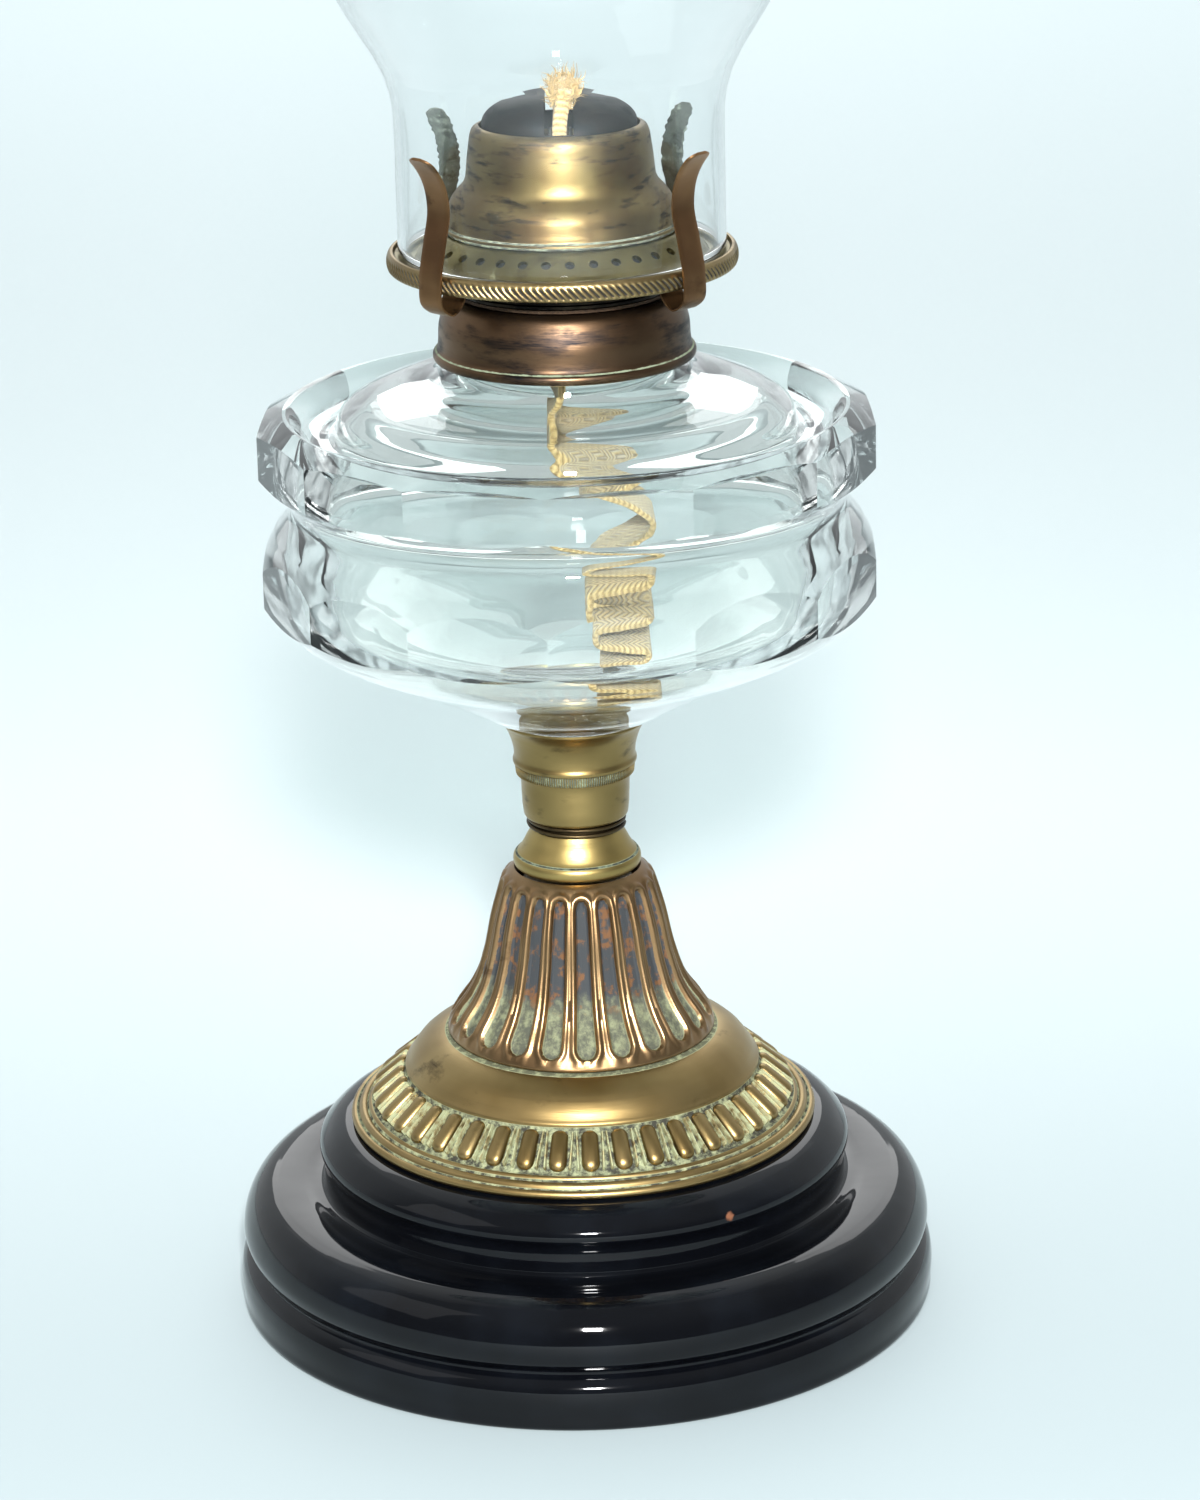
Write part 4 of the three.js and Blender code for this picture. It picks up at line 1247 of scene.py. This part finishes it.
@dataclass
class Gallery:
    """The burner's gallery: the drilled plate, its rolled edge with slanting strokes, and the drum below."""

    holes: int = 36
    hole_radius: float = 1.1
    hole_circle: float = 29.8
    first_hole: float = 3.3
    strokes: int = 158
    stroke_depth: float = 0.45

    def plate(self, finishes: Finishes) -> None:
        """The plate, with its ring of air holes."""
        outer = smooth([(37.9, 254.9), (33.6, 254.9), (33.1, 254.95), (32.7, 255.35)], 0.6)
        cone = smooth(
            [(30.8, 256.9), (28.8, 258.5), (27.4, 259.6), (26.8, 259.9), (26.2, 259.95), (20.0, 259.9)],
            0.7,
        )
        face = [*outer, *cone]
        mesh = lathe(
            [
                *face, (20.0, 259.1), (26.3, 259.1), (30.4, 256.1), (32.3, 254.2), (33.0, 254.05),
                (37.9, 254.1),
            ],
            216,
        )
        drill = bmesh.new()
        slope = Matrix.Translation(
            Vector((self.hole_circle, 0, 257.7)) * MM
        ) @ Matrix.Rotation(math.radians(38), 4, "Y")
        bore = self.hole_radius * MM
        bmesh.ops.create_cone(
            drill, cap_ends=True, segments=20, radius1=bore, radius2=bore, depth=8 * MM, matrix=slope
        )
        mesh = ring_of(mesh, drill, self.holes, self.first_hole - 90, finishes.plate, RingMode.DRILL)
        place("drilled_gallery_plate", mesh, finishes.plate, "burner", "aged_brass", "gallery_plate")
        # A black lining under the holes, a sheet of painted shade that keeps the light of the room out of
        # them
        lining = [(26.2, 258.55), (30.3, 255.5), (32.0, 253.8), (31.8, 253.4), (30.0, 255.1), (26.0, 258.1)]
        place("blackened_air_lining", lathe(lining, 96), finishes.soot, "burner", "dark_brass")

    def edge(self, finishes: Finishes) -> None:
        """The rolled edge, pressed with slanting strokes by a rule on angle and height."""
        grow = GrowthTree(
            "slanting_strokes", strokes=self.strokes, depth=self.stroke_depth * MM, slant=0.9,
            middle=253.3 * MM,
        )
        tree = grow.tree
        x, y, z = add(tree, "ShaderNodeSeparateXYZ", [add(tree, "GeometryNodeInputPosition")]).outputs
        turn = add(tree, "ShaderNodeMath", [y, x], operation="ARCTAN2")
        rise = add(tree, "ShaderNodeMath", [z, grow.size("middle")], operation="SUBTRACT")
        share_up = add(tree, "ShaderNodeMath", [rise, 39.9 * MM], operation="DIVIDE")
        lean = add(tree, "ShaderNodeMath", [share_up, grow.size("slant")], operation="MULTIPLY")
        leaned = add(tree, "ShaderNodeMath", [turn, lean], operation="ADD")
        # Each point's share of a pitch from the middle of its stroke
        pitch = add(tree, "ShaderNodeMath", [math.tau, grow.size("strokes")], operation="DIVIDE")
        half_pitch = add(tree, "ShaderNodeMath", [pitch, 0.5], operation="MULTIPLY")
        other_half = add(tree, "ShaderNodeMath", [pitch, -0.5], operation="MULTIPLY")
        local = add(tree, "ShaderNodeMath", [leaned, half_pitch, other_half], operation="WRAP")
        beside = add(tree, "ShaderNodeMath", [local], operation="ABSOLUTE")
        share = add(tree, "ShaderNodeMath", [beside, pitch], operation="DIVIDE")
        cut = {"Value": share, "From Min": 0.1, "From Max": 0.3, "To Min": 1.0, "To Max": 0.0}
        groove = add(tree, "ShaderNodeMapRange", cut, interpolation_type="SMOOTHSTEP")
        off_middle = add(tree, "ShaderNodeMath", [rise], operation="ABSOLUTE")
        tall = {"Value": off_middle, "From Min": 0.9 * MM, "From Max": 1.6 * MM, "To Min": 1.0, "To Max": 0.0}
        window = add(tree, "ShaderNodeMapRange", tall, interpolation_type="SMOOTHSTEP")
        # Only the outer face is struck
        flat = add(tree, "ShaderNodeCombineXYZ", {"X": x, "Y": y})
        r = add(tree, "ShaderNodeVectorMath", [flat], operation="LENGTH").outputs["Value"]
        shows = add(tree, "ShaderNodeMath", [r, 39.2 * MM], operation="GREATER_THAN")
        struck = add(tree, "ShaderNodeMath", [groove, window], operation="MULTIPLY")
        sunk = add(tree, "ShaderNodeMath", [struck, shows], operation="MULTIPLY")
        deep = add(tree, "ShaderNodeMath", [sunk, grow.size("depth")], operation="MULTIPLY")
        inward = add(tree, "ShaderNodeMath", [deep, -1.0], operation="MULTIPLY")
        push = {0: add(tree, "GeometryNodeInputNormal"), "Scale": inward}
        way = add(tree, "ShaderNodeVectorMath", push, operation="SCALE")
        held = {"Geometry": grow.base, "Name": "hollow", "Value": sunk}
        stored = add(tree, "GeometryNodeStoreNamedAttribute", held, data_type="FLOAT", domain="POINT")
        grow.close(add(tree, "GeometryNodeSetPosition", {"Geometry": stored, "Offset": way}))
        section = smooth(
            [
                (38.4, 251.6), (38.9, 251.4), (39.4, 251.5), (39.75, 252.2), (39.9, 253.3),
                (39.75, 254.4), (39.4, 255.2), (38.9, 255.65), (38.4, 255.6),
            ],
            0.28,
        )
        mesh = grow.grow(lathe(section, self.strokes * 8), finishes.rope)
        place("rolled_gallery_edge", mesh, finishes.rope, "burner", "aged_brass", "gallery_ring", sharp=60)

    def build(self, finishes: Finishes) -> None:
        """Builds the gallery and dresses what stands in it."""
        self.plate(finishes)
        self.edge(finishes)
        # The drum and skirt take near-black brass, painted shade for the dark under the gallery
        dress(finishes.drum, "burner_drum", "burner_skirt")
        dress(finishes.tube, "wick_tube", "tube_plate", "spindle_bracket")
        dress(finishes.plate, "spindle_bush", "wick_wheel_front", "wick_wheel_back")
        dress(finishes.steel, "spindle")


class Wear(Enum):
    """How the years have treated a prong."""

    BROWNED = "browned"
    CORRODED = "corroded"


@dataclass
class Prong:
    """One sprung strip that grips the chimney, bent under the gallery and curling out at its tip."""

    name: str
    node: str
    body: str
    turn: float
    wear: Wear
    wide: float = 7.6
    thick: float = 0.7
    seed: int = 1

    def centre_line(self) -> list[Point]:
        """The strip's middle line, as radius and height in mm."""
        bend = [(33.6, 252.6), (34.2, 249.4), (37.6, 246.7), (40.6, 248.6)]
        blade = [(41.1, 254.0), (39.6, 262.0), (37.95, 270.0), (39.0, 275.6), (42.6, 281.0), (44.0, 282.2)]
        return smooth([*bend, *blade], 0.6)

    def build(self, finishes: Finishes) -> None:
        """Builds the strip: its edges are eaten away where it has corroded."""
        line = self.centre_line()
        across = 10
        rng = random.Random(self.seed)
        ragged = [rng.uniform(-1, 1) * 0.35 if self.wear is Wear.CORRODED else 0.0 for _ in line]
        lengths = [0.0]
        for a, b in zip(line, line[1:]):
            lengths.append(lengths[-1] + math.dist(a, b))
        bm = bmesh.new()
        turn = Matrix.Rotation(math.radians(self.turn), 3, "Z")
        faces: dict[float, list] = {}
        for side in (-0.5, 0.5):
            rows = []
            for i, (r, z) in enumerate(line):
                before, after = line[max(i - 1, 0)], line[min(i + 1, len(line) - 1)]
                along = Vector((after[0] - before[0], after[1] - before[1])).normalized()
                left = lengths[-1] - lengths[i]
                tip = math.sqrt(max(0.0, 1 - max(0.0, (2.6 - left) / 2.6) ** 2))
                half = (self.wide / 2 - 0.35) * (0.45 + 0.55 * tip) + ragged[i]
                row = []
                for j in range(across + 1):
                    v = -1 + 2 * j / across
                    thin = self.thick * side * (0.55 if abs(v) > 0.99 else 1.0)
                    spot = Vector((r - along.y * thin, v * half, z + along.x * thin)) * MM
                    row.append(bm.verts.new(turn @ spot))
                rows.append(row)
            faces[side] = rows
        low, high = faces[-0.5], faces[0.5]
        for i in range(len(line) - 1):
            for j in range(across):
                for rows in (low, high):
                    bm.faces.new([rows[i][j], rows[i][j + 1], rows[i + 1][j + 1], rows[i + 1][j]])
            for j in (0, across):
                bm.faces.new([low[i][j], low[i + 1][j], high[i + 1][j], high[i][j]])
        for i in (0, len(line) - 1):
            for j in range(across):
                bm.faces.new([low[i][j], low[i][j + 1], high[i][j + 1], high[i][j]])
        finish = finishes.prong if self.wear is Wear.BROWNED else finishes.grey_prong
        place(self.name, from_bmesh(bm), finish, self.body, "aged_brass", self.node, sharp=50)


@dataclass
class Cone:
    """The spun cone over the flame, and the dome with its flame slot."""

    slot: float = 6.4

    def build(self, finishes: Finishes) -> None:
        """Builds both, with the dome's slot cut front to back."""
        flange = smooth(
            [(26.5, 260.2), (26.65, 260.6), (26.55, 261.2), (26.1, 261.6), (25.95, 262.4), (25.75, 263.4)],
            0.3,
        )
        skirt = smooth(
            [(25.65, 264.4), (25.4, 266.0), (24.4, 268.0), (23.1, 269.5), (22.1, 270.6), (21.5, 272.0)],
            0.5,
        )
        barrel = smooth(
            [
                (21.25, 274.0), (20.95, 277.0), (20.6, 279.4), (20.1, 282.3), (19.85, 283.0),
                (19.2, 283.7), (18.2, 284.1),
            ],
            0.5,
        )
        outer = [*flange, *skirt, *barrel]
        mesh = lathe([*outer, *inner_face(outer, 0.7)], 192)
        edge = lambda s: 0.8 if s.z < 260.75 or 261.35 < s.z < 261.75 else 0.0
        place("spun_cone", tag(mesh, "hollow", edge), finishes.cone, "cone", "aged_brass", "cone_shell")
        crown = [(17.5, 279.6), (17.5, 284.4)]
        turns = [math.radians(a) for a in range(5, 91, 5)]
        crown += [(17.5 * math.cos(a) if a < 1.57 else 0.0, 284.4 + 7.4 * math.sin(a)) for a in turns]
        hidden = [(max(r - 0.7, 0.0), z - 0.7) for r, z in crown[1:]][::-1]
        shell = lathe([*crown, *hidden, (16.8, 279.6)], 144)
        half = self.slot / 2
        shell = carve(shell, bar((-half, -30, 284.2), (half, 30, 300)), "DIFFERENCE")
        place("slotted_dome", shell, finishes.dome, "cone", "dark_brass", "dome")


@dataclass
class Winder:
    """The knob that turns the spindle behind the burner."""

    x: float = 7.0
    z: float = 249.7
    near: float = 45.0
    radius: float = 8.4
    ribs: int = 60

    def build(self, finishes: Finishes) -> None:
        """Turns the knob, with a milled edge, and lays it on the spindle."""
        rim = smooth(
            [(1.6, 0.0), (3.1, 0.0), (3.4, 0.4), (3.5, 1.2), (7.6, 1.5), (8.2, 1.9), (8.3, 2.9), (8.2, 3.9)],
            0.3,
        )
        face = smooth(
            [(7.6, 4.4), (6.9, 4.3), (6.2, 3.9), (4.6, 3.9), (3.6, 4.4), (3.1, 5.1), (1.6, 5.2)], 0.3,
        )
        mesh = lathe([*rim, *face], 96)
        rib = bead(2.4, 0.45, 0.3, rings=5, sides=6)
        rib.transform(Matrix.Translation(Vector((8.25, 0, 2.9)) * MM) @ Matrix.Rotation(math.pi / 2, 4, "Y"))
        mesh = ring_of(mesh, rib, self.ribs, 0.0, finishes.knop)
        lay = Matrix.Translation(
            Vector((self.x, self.near, self.z)) * MM
        ) @ Matrix.Rotation(-math.pi / 2, 4, "X")
        mesh.transform(lay)
        place("milled_knob", mesh, finishes.knop, "winder", "aged_brass", "winder_knob")


@dataclass
class Wick:
    """One strip of woven cotton: it stands in the tube, frays at its top, and hangs folded in the font."""

    wide: float = 25.0
    thick: float = 3.5
    tail_thick: float = 1.8
    lean: float = 0.12
    low: float = 232.3
    top: float = 293.6
    fibres: int = 760
    seed: int = 7
    folds: tuple[Point, ...] = (
        (0, 231.9), (-1.5, 222), (-3.4, 213.6), (5, 208.4), (16.4, 202.6), (20.2, 198.2), (14.4, 191.6),
        (4.6, 185.4), (3.6, 181.6), (10, 178.6), (18.8, 176.2), (19.4, 173.2), (12, 170.8), (4.4, 168.6),
        (4.6, 166), (12, 164), (19, 162.2), (18.4, 160.2), (11, 158.6), (5.6, 157),
    )

    def strip(
        self, line: Sequence[Point], thick: float, edges: int, fray: float = 0.0, lean: float = 0.0,
    ) -> bpy.types.Mesh:
        """A closed strip of cloth along a line in the XZ plane.

        Args:
            line: Its middle line, as x and z in mm.
            thick: Its thickness in mm.
            edges: Faces across its width.
            fray: How far its long edges wander, in mm.
            lean: How far its far edge rises once it leaves the tube, in mm per mm of width.

        Returns:
            The strip, with a UV map in metres of cloth.
        """
        rng = random.Random(self.seed)
        bm = bmesh.new()
        uv = bm.loops.layers.uv.new("cloth")
        run = [0.0]
        for a, b in zip(line, line[1:]):
            run.append(run[-1] + math.dist(a, b))
        rows, flat = [], {}
        for i, (x, z) in enumerate(line):
            before, after = line[max(i - 1, 0)], line[min(i + 1, len(line) - 1)]
            along = Vector((after[0] - before[0], after[1] - before[1])).normalized()
            half = self.wide / 2 - 0.1 + rng.uniform(-fray, 0)
            ring = []
            places = [(-1 + 2 * j / edges, 0.5) for j in range(edges + 1)]
            places += [(1 - 2 * j / edges, -0.5) for j in range(edges + 1)]
            for v, side in places:
                body = side * thick * (0.6 if abs(v) > 0.99 else 1.0)
                rise = v * half * lean * min(1.0, run[i] / 14) * min(1.0, (run[-1] - run[i]) / 12)
                spot = Vector((x - along.y * body, v * half, z + along.x * body + rise)) * MM
                vertex = bm.verts.new(spot)
                flat[vertex] = (v * half * MM, run[i] * MM)
                ring.append(vertex)
            rows.append(ring)
        for a, b in zip(rows, rows[1:]):
            for j in range(len(a)):
                k = (j + 1) % len(a)
                bm.faces.new([a[j], a[k], b[k], b[j]])
        for ring in (rows[0], rows[-1]):
            for j in range(edges):
                bm.faces.new([ring[j], ring[j + 1], ring[-2 - j], ring[-1 - j]])
        for face in bm.faces:
            for loop in face.loops:
                loop[uv].uv = flat[loop.vert]
        return from_bmesh(bm)

    def fibre(self) -> bmesh.types.BMesh:
        """One loose curled fibre, 4 mm long."""
        bm = bmesh.new()
        rings = []
        for i in range(7):
            t = i / 6
            middle = Vector((1.3 * t * t, 0.5 * math.sin(3 * t), 3.8 * t - 0.9 * t * t))
            girth = 0.2 * (1 - 0.7 * t)
            ring = [
                middle + Vector((math.cos(a), math.sin(a), 0)) * girth for a in (
                    0, math.tau / 3, 2 * math.tau / 3,
                )
            ]
            rings.append([bm.verts.new(p * MM) for p in ring])
        for a, b in zip(rings, rings[1:]):
            for j in range(3):
                bm.faces.new([a[j], a[(j + 1) % 3], b[(j + 1) % 3], b[j]])
        bm.faces.new(rings[0][::-1])
        bm.faces.new(rings[-1])
        return bm

    def tuft(self, base: bpy.types.Mesh, finish: bpy.types.Material) -> bpy.types.Mesh:
        """Scatters loose fibres on the strip's charred top, from a fixed seed.

        Args:
            base: The strip.
            finish: Its material.

        Returns:
            The strip with its tuft.
        """
        pattern = into_scene("fibre", from_bmesh(self.fibre()))
        grow = GrowthTree(
            "frayed_top", fibres=self.fibres, seed=self.seed, reach=1.6 * MM, unit=pattern,
            top=(self.top - 1.4) * MM,
        )
        tree = grow.tree
        points = add(tree, "GeometryNodePoints", {"Count": grow.size("fibres")})
        box_low, box_high = (-1.9 * MM, -12.2 * MM, -3.0 * MM), (4.3 * MM, 11.8 * MM, 1.2 * MM)
        inside = {"Min": box_low, "Max": box_high, "Seed": grow.size("seed")}
        scatter = add(tree, "FunctionNodeRandomValue", inside, data_type="FLOAT_VECTOR")
        lift = add(tree, "ShaderNodeCombineXYZ", {"Z": grow.size("top")})
        spot = add(tree, "ShaderNodeVectorMath", {0: scatter, 1: lift}, operation="ADD")
        spread = add(tree, "GeometryNodeSetPosition", {"Geometry": points, "Position": spot})
        next_seed = add(tree, "ShaderNodeMath", [grow.size("seed"), 1.0], operation="ADD")
        last_seed = add(tree, "ShaderNodeMath", [grow.size("seed"), 2.0], operation="ADD")
        tilt = {"Min": (-0.9, -1.5, 0.0), "Max": (0.9, 1.5, math.tau), "Seed": next_seed}
        lean = add(tree, "FunctionNodeRandomValue", tilt, data_type="FLOAT_VECTOR")
        long = {"Min": 0.45, "Max": 1.15, "Seed": last_seed}
        length = add(tree, "FunctionNodeRandomValue", long, data_type="FLOAT")
        item = add(tree, "GeometryNodeObjectInfo", {"Object": grow.size("unit")})
        stand = {"Points": spread, "Instance": item.outputs["Geometry"], "Rotation": lean, "Scale": length}
        loose = add(tree, "GeometryNodeInstanceOnPoints", stand)
        grow.close(loose, with_base=True)
        grown = grow.grow(base, finish)
        bpy.data.objects.remove(pattern)
        return grown

    def build(self, finishes: Finishes) -> None:
        """Builds the standing strip with its tuft, and the folded tail."""
        upright = smooth([(0, self.low), (0, 260), (0, 281), (0.2, 286), (0.9, 290.4), (1.6, self.top)], 0.7)
        strip = self.tuft(self.strip(upright, self.thick - 0.3, 30, 0.25), finishes.cotton)
        place("wick_strip", strip, finishes.cotton, "wick", "cotton", "wick", sharp=70)
        line = smooth(self.folds, 0.8)
        cloth = self.strip(line, self.tail_thick, 30, 0.15, self.lean)
        tail = finished("wick_tail_cloth", cloth, finishes.cotton, 70)
        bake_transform(tail)
        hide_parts("wick_tail")


@dataclass
class Chimney:
    """The blown glass chimney: a straight fitter, a round bulb and a long taper."""

    wall: float = 1.7
    sides: int = 192

    def build(self, finishes: Finishes) -> None:
        """Builds the chimney with fire-polished rims."""
        fitter = smooth([(37.2, 255.9), (37.2, 270.0), (37.2, 284.0), (37.35, 288.0), (37.9, 291.6)], 2.0)
        flare = smooth(
            [
                (39.2, 296.0), (41.4, 300.4), (44.6, 305.6), (47.8, 310.9), (50.8, 316.6), (53.2, 324.0),
                (54.0, 331.0),
            ],
            1.6,
        )
        taper = smooth(
            [
                (53.4, 339.0), (51.4, 347.0), (47.8, 356.4), (43.2, 366.6), (38.6, 378.0), (34.6, 389.4),
                (31.8, 401.0), (30.0, 413.0), (28.4, 429.0), (27.6, 446.0), (26.9, 480.0), (26.5, 507.6),
            ],
            2.4,
        )
        outer = [*fitter, *flare, *taper]
        inner = inner_face(outer, self.wall)
        middle_top = (26.4 - self.wall / 2, 509.0)
        middle_low = (37.2 - self.wall / 2, 255.2)
        round_top = [(26.3, 508.5), middle_top, (24.9, 508.5)]
        round_low = [(35.7, 255.5), middle_low, (36.9, 255.4)]
        mesh = lathe([*outer, *round_top, *inner, *round_low], self.sides)
        place("blown_chimney", mesh, finishes.chimney, "chimney", "chimney_glass", "chimney", sharp=60)


# ---------------------------------------------------------------- camera, floor and light
@dataclass
class Studio:
    """The camera, the pale floor and the soft lights."""

    eye: tuple[float, float, float] = (0.00595, -1.0308, 0.4810)
    lens: float = 111.33
    pitch: float = 18.551
    roll: float = -1.302

    def camera(self) -> None:
        """Sets up the camera for an upright frame of 1200 by 1500."""
        data = bpy.data.cameras.new("camera")
        data.sensor_fit = "VERTICAL"
        data.sensor_height = 36.0
        data.lens = self.lens
        data.clip_start = 0.02
        camera = into_scene("camera", data)
        aim = Matrix.Rotation(
            math.radians(90 - self.pitch), 4, "X",
        ) @ Matrix.Rotation(math.radians(self.roll), 4, "Z")
        camera.matrix_world = Matrix.Translation(self.eye) @ aim
        bpy.context.scene.camera = camera

    def floor(self) -> None:
        """The wide pale floor, with painted shade that makes it darker towards the front."""
        bm = bmesh.new()
        bmesh.ops.create_circle(bm, cap_ends=True, segments=96, radius=9.0)
        mesh = bpy.data.meshes.new("floor")
        bm.to_mesh(mesh)
        bm.free()
        material, tree, shader = new_material("pale_paper")
        where = add(tree, "ShaderNodeTexCoord").outputs["Object"]
        parts = add(tree, "ShaderNodeSeparateXYZ", {0: where})
        # Painted shade: the floor's colour darkens from the back towards the front, standing in for light
        # that falls off there
        reach = {"Value": parts.outputs["Y"], "From Min": -0.12, "From Max": 0.4}
        away = add(tree, "ShaderNodeMapRange", reach, interpolation_type="SMOOTHSTEP")
        mix = {"Factor": away, "A": srgb("#a5b2b5"), "B": srgb("#d9e6e8")}
        colour = add(tree, "ShaderNodeMix", mix, data_type="RGBA")
        feed(tree, shader, {"Base Color": colour, "Roughness": 0.75})
        mesh.materials.append(material)
        into_scene("floor", mesh)

    def lamp(
        self, name: str, spot: Sequence[float], size: float, power: float,
        aim: Sequence[float] = (0, 0, 0.2),
    ) -> None:
        """A square soft white light.

        Args:
            name: Its name.
            spot: Where it stands, in metres.
            size: Its side, in metres.
            power: Its power in watts.
            aim: The point that it faces, in metres.
        """
        data = bpy.data.lights.new(name, "AREA")
        data.shape = "SQUARE"
        data.size = size
        data.energy = power
        light = into_scene(name, data)
        way = Vector(aim) - Vector(spot)
        light.matrix_world = Matrix.Translation(spot) @ way.to_track_quat("-Z", "Y").to_matrix().to_4x4()

    def sky(self) -> None:
        """A soft room: bright overhead and dimmer near the horizon."""
        world = bpy.data.worlds.new("room")
        bpy.context.scene.world = world
        world.use_nodes = True
        tree = world.node_tree
        tree.nodes.clear()
        way = add(tree, "ShaderNodeTexCoord").outputs["Generated"]
        parts = add(tree, "ShaderNodeSeparateXYZ", {0: way})
        band = {"Value": parts.outputs["Z"], "From Min": 0.2, "From Max": 0.9, "To Min": 0.2, "To Max": 0.42}
        above = add(tree, "ShaderNodeMapRange", band, interpolation_type="SMOOTHSTEP")
        rear = {
            "Value": parts.outputs["Y"], "From Min": -0.2, "From Max": 0.45, "To Min": 0.2,
            "To Max": 0.85,
        }
        behind = add(tree, "ShaderNodeMapRange", rear, interpolation_type="SMOOTHSTEP")
        strength = add(tree, "ShaderNodeMath", {0: above, 1: behind}, operation="MAXIMUM")
        glow = add(tree, "ShaderNodeBackground", {"Color": srgb("#f1f8fb"), "Strength": strength})
        add(tree, "ShaderNodeOutputWorld", {"Surface": glow})

    def build(self) -> None:
        """Builds the studio."""
        self.camera()
        self.floor()
        self.lamp("flash", (0.03, -1.15, 0.70), 0.11, 40.0)
        self.lamp("backdrop_box", (0.0, 2.3, 1.2), 1.6, 16.0, aim=(0.0, 2.0, 0.0))
        self.lamp("overhead_box", (0.0, 0.9, 1.7), 2.0, 2.0)
        self.lamp("left_fill", (-1.5, -0.5, 1.3), 1.2, 3.0)
        self.sky()
        view = bpy.context.scene.view_settings
        view.view_transform = "Standard"


def main() -> None:
    """Builds the lamp on its frame."""
    logging.basicConfig(level=logging.INFO, format="%(message)s")
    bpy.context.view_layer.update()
    Studio().build()
    finishes = Finishes()
    for part in (Plinth(), PressedFoot(), FlutedBell(), Stem(), Font(), Gallery()):
        part.build(finishes)
    for part in (
        Prong("front_right_prong", "prong_1", "prong_front_right", -45, Wear.BROWNED),
        Prong("back_right_prong", "prong_2", "prong_back_right", 45, Wear.CORRODED, seed=3),
        Prong("back_left_prong", "prong_3", "prong_back_left", 135, Wear.CORRODED, seed=5),
        Prong("front_left_prong", "prong_4", "prong_front_left", -135, Wear.BROWNED),
        Winder(),
        Wick(),
        Cone(),
        Chimney(),
    ):
        part.build(finishes)


if __name__ == "__main__":
    main()
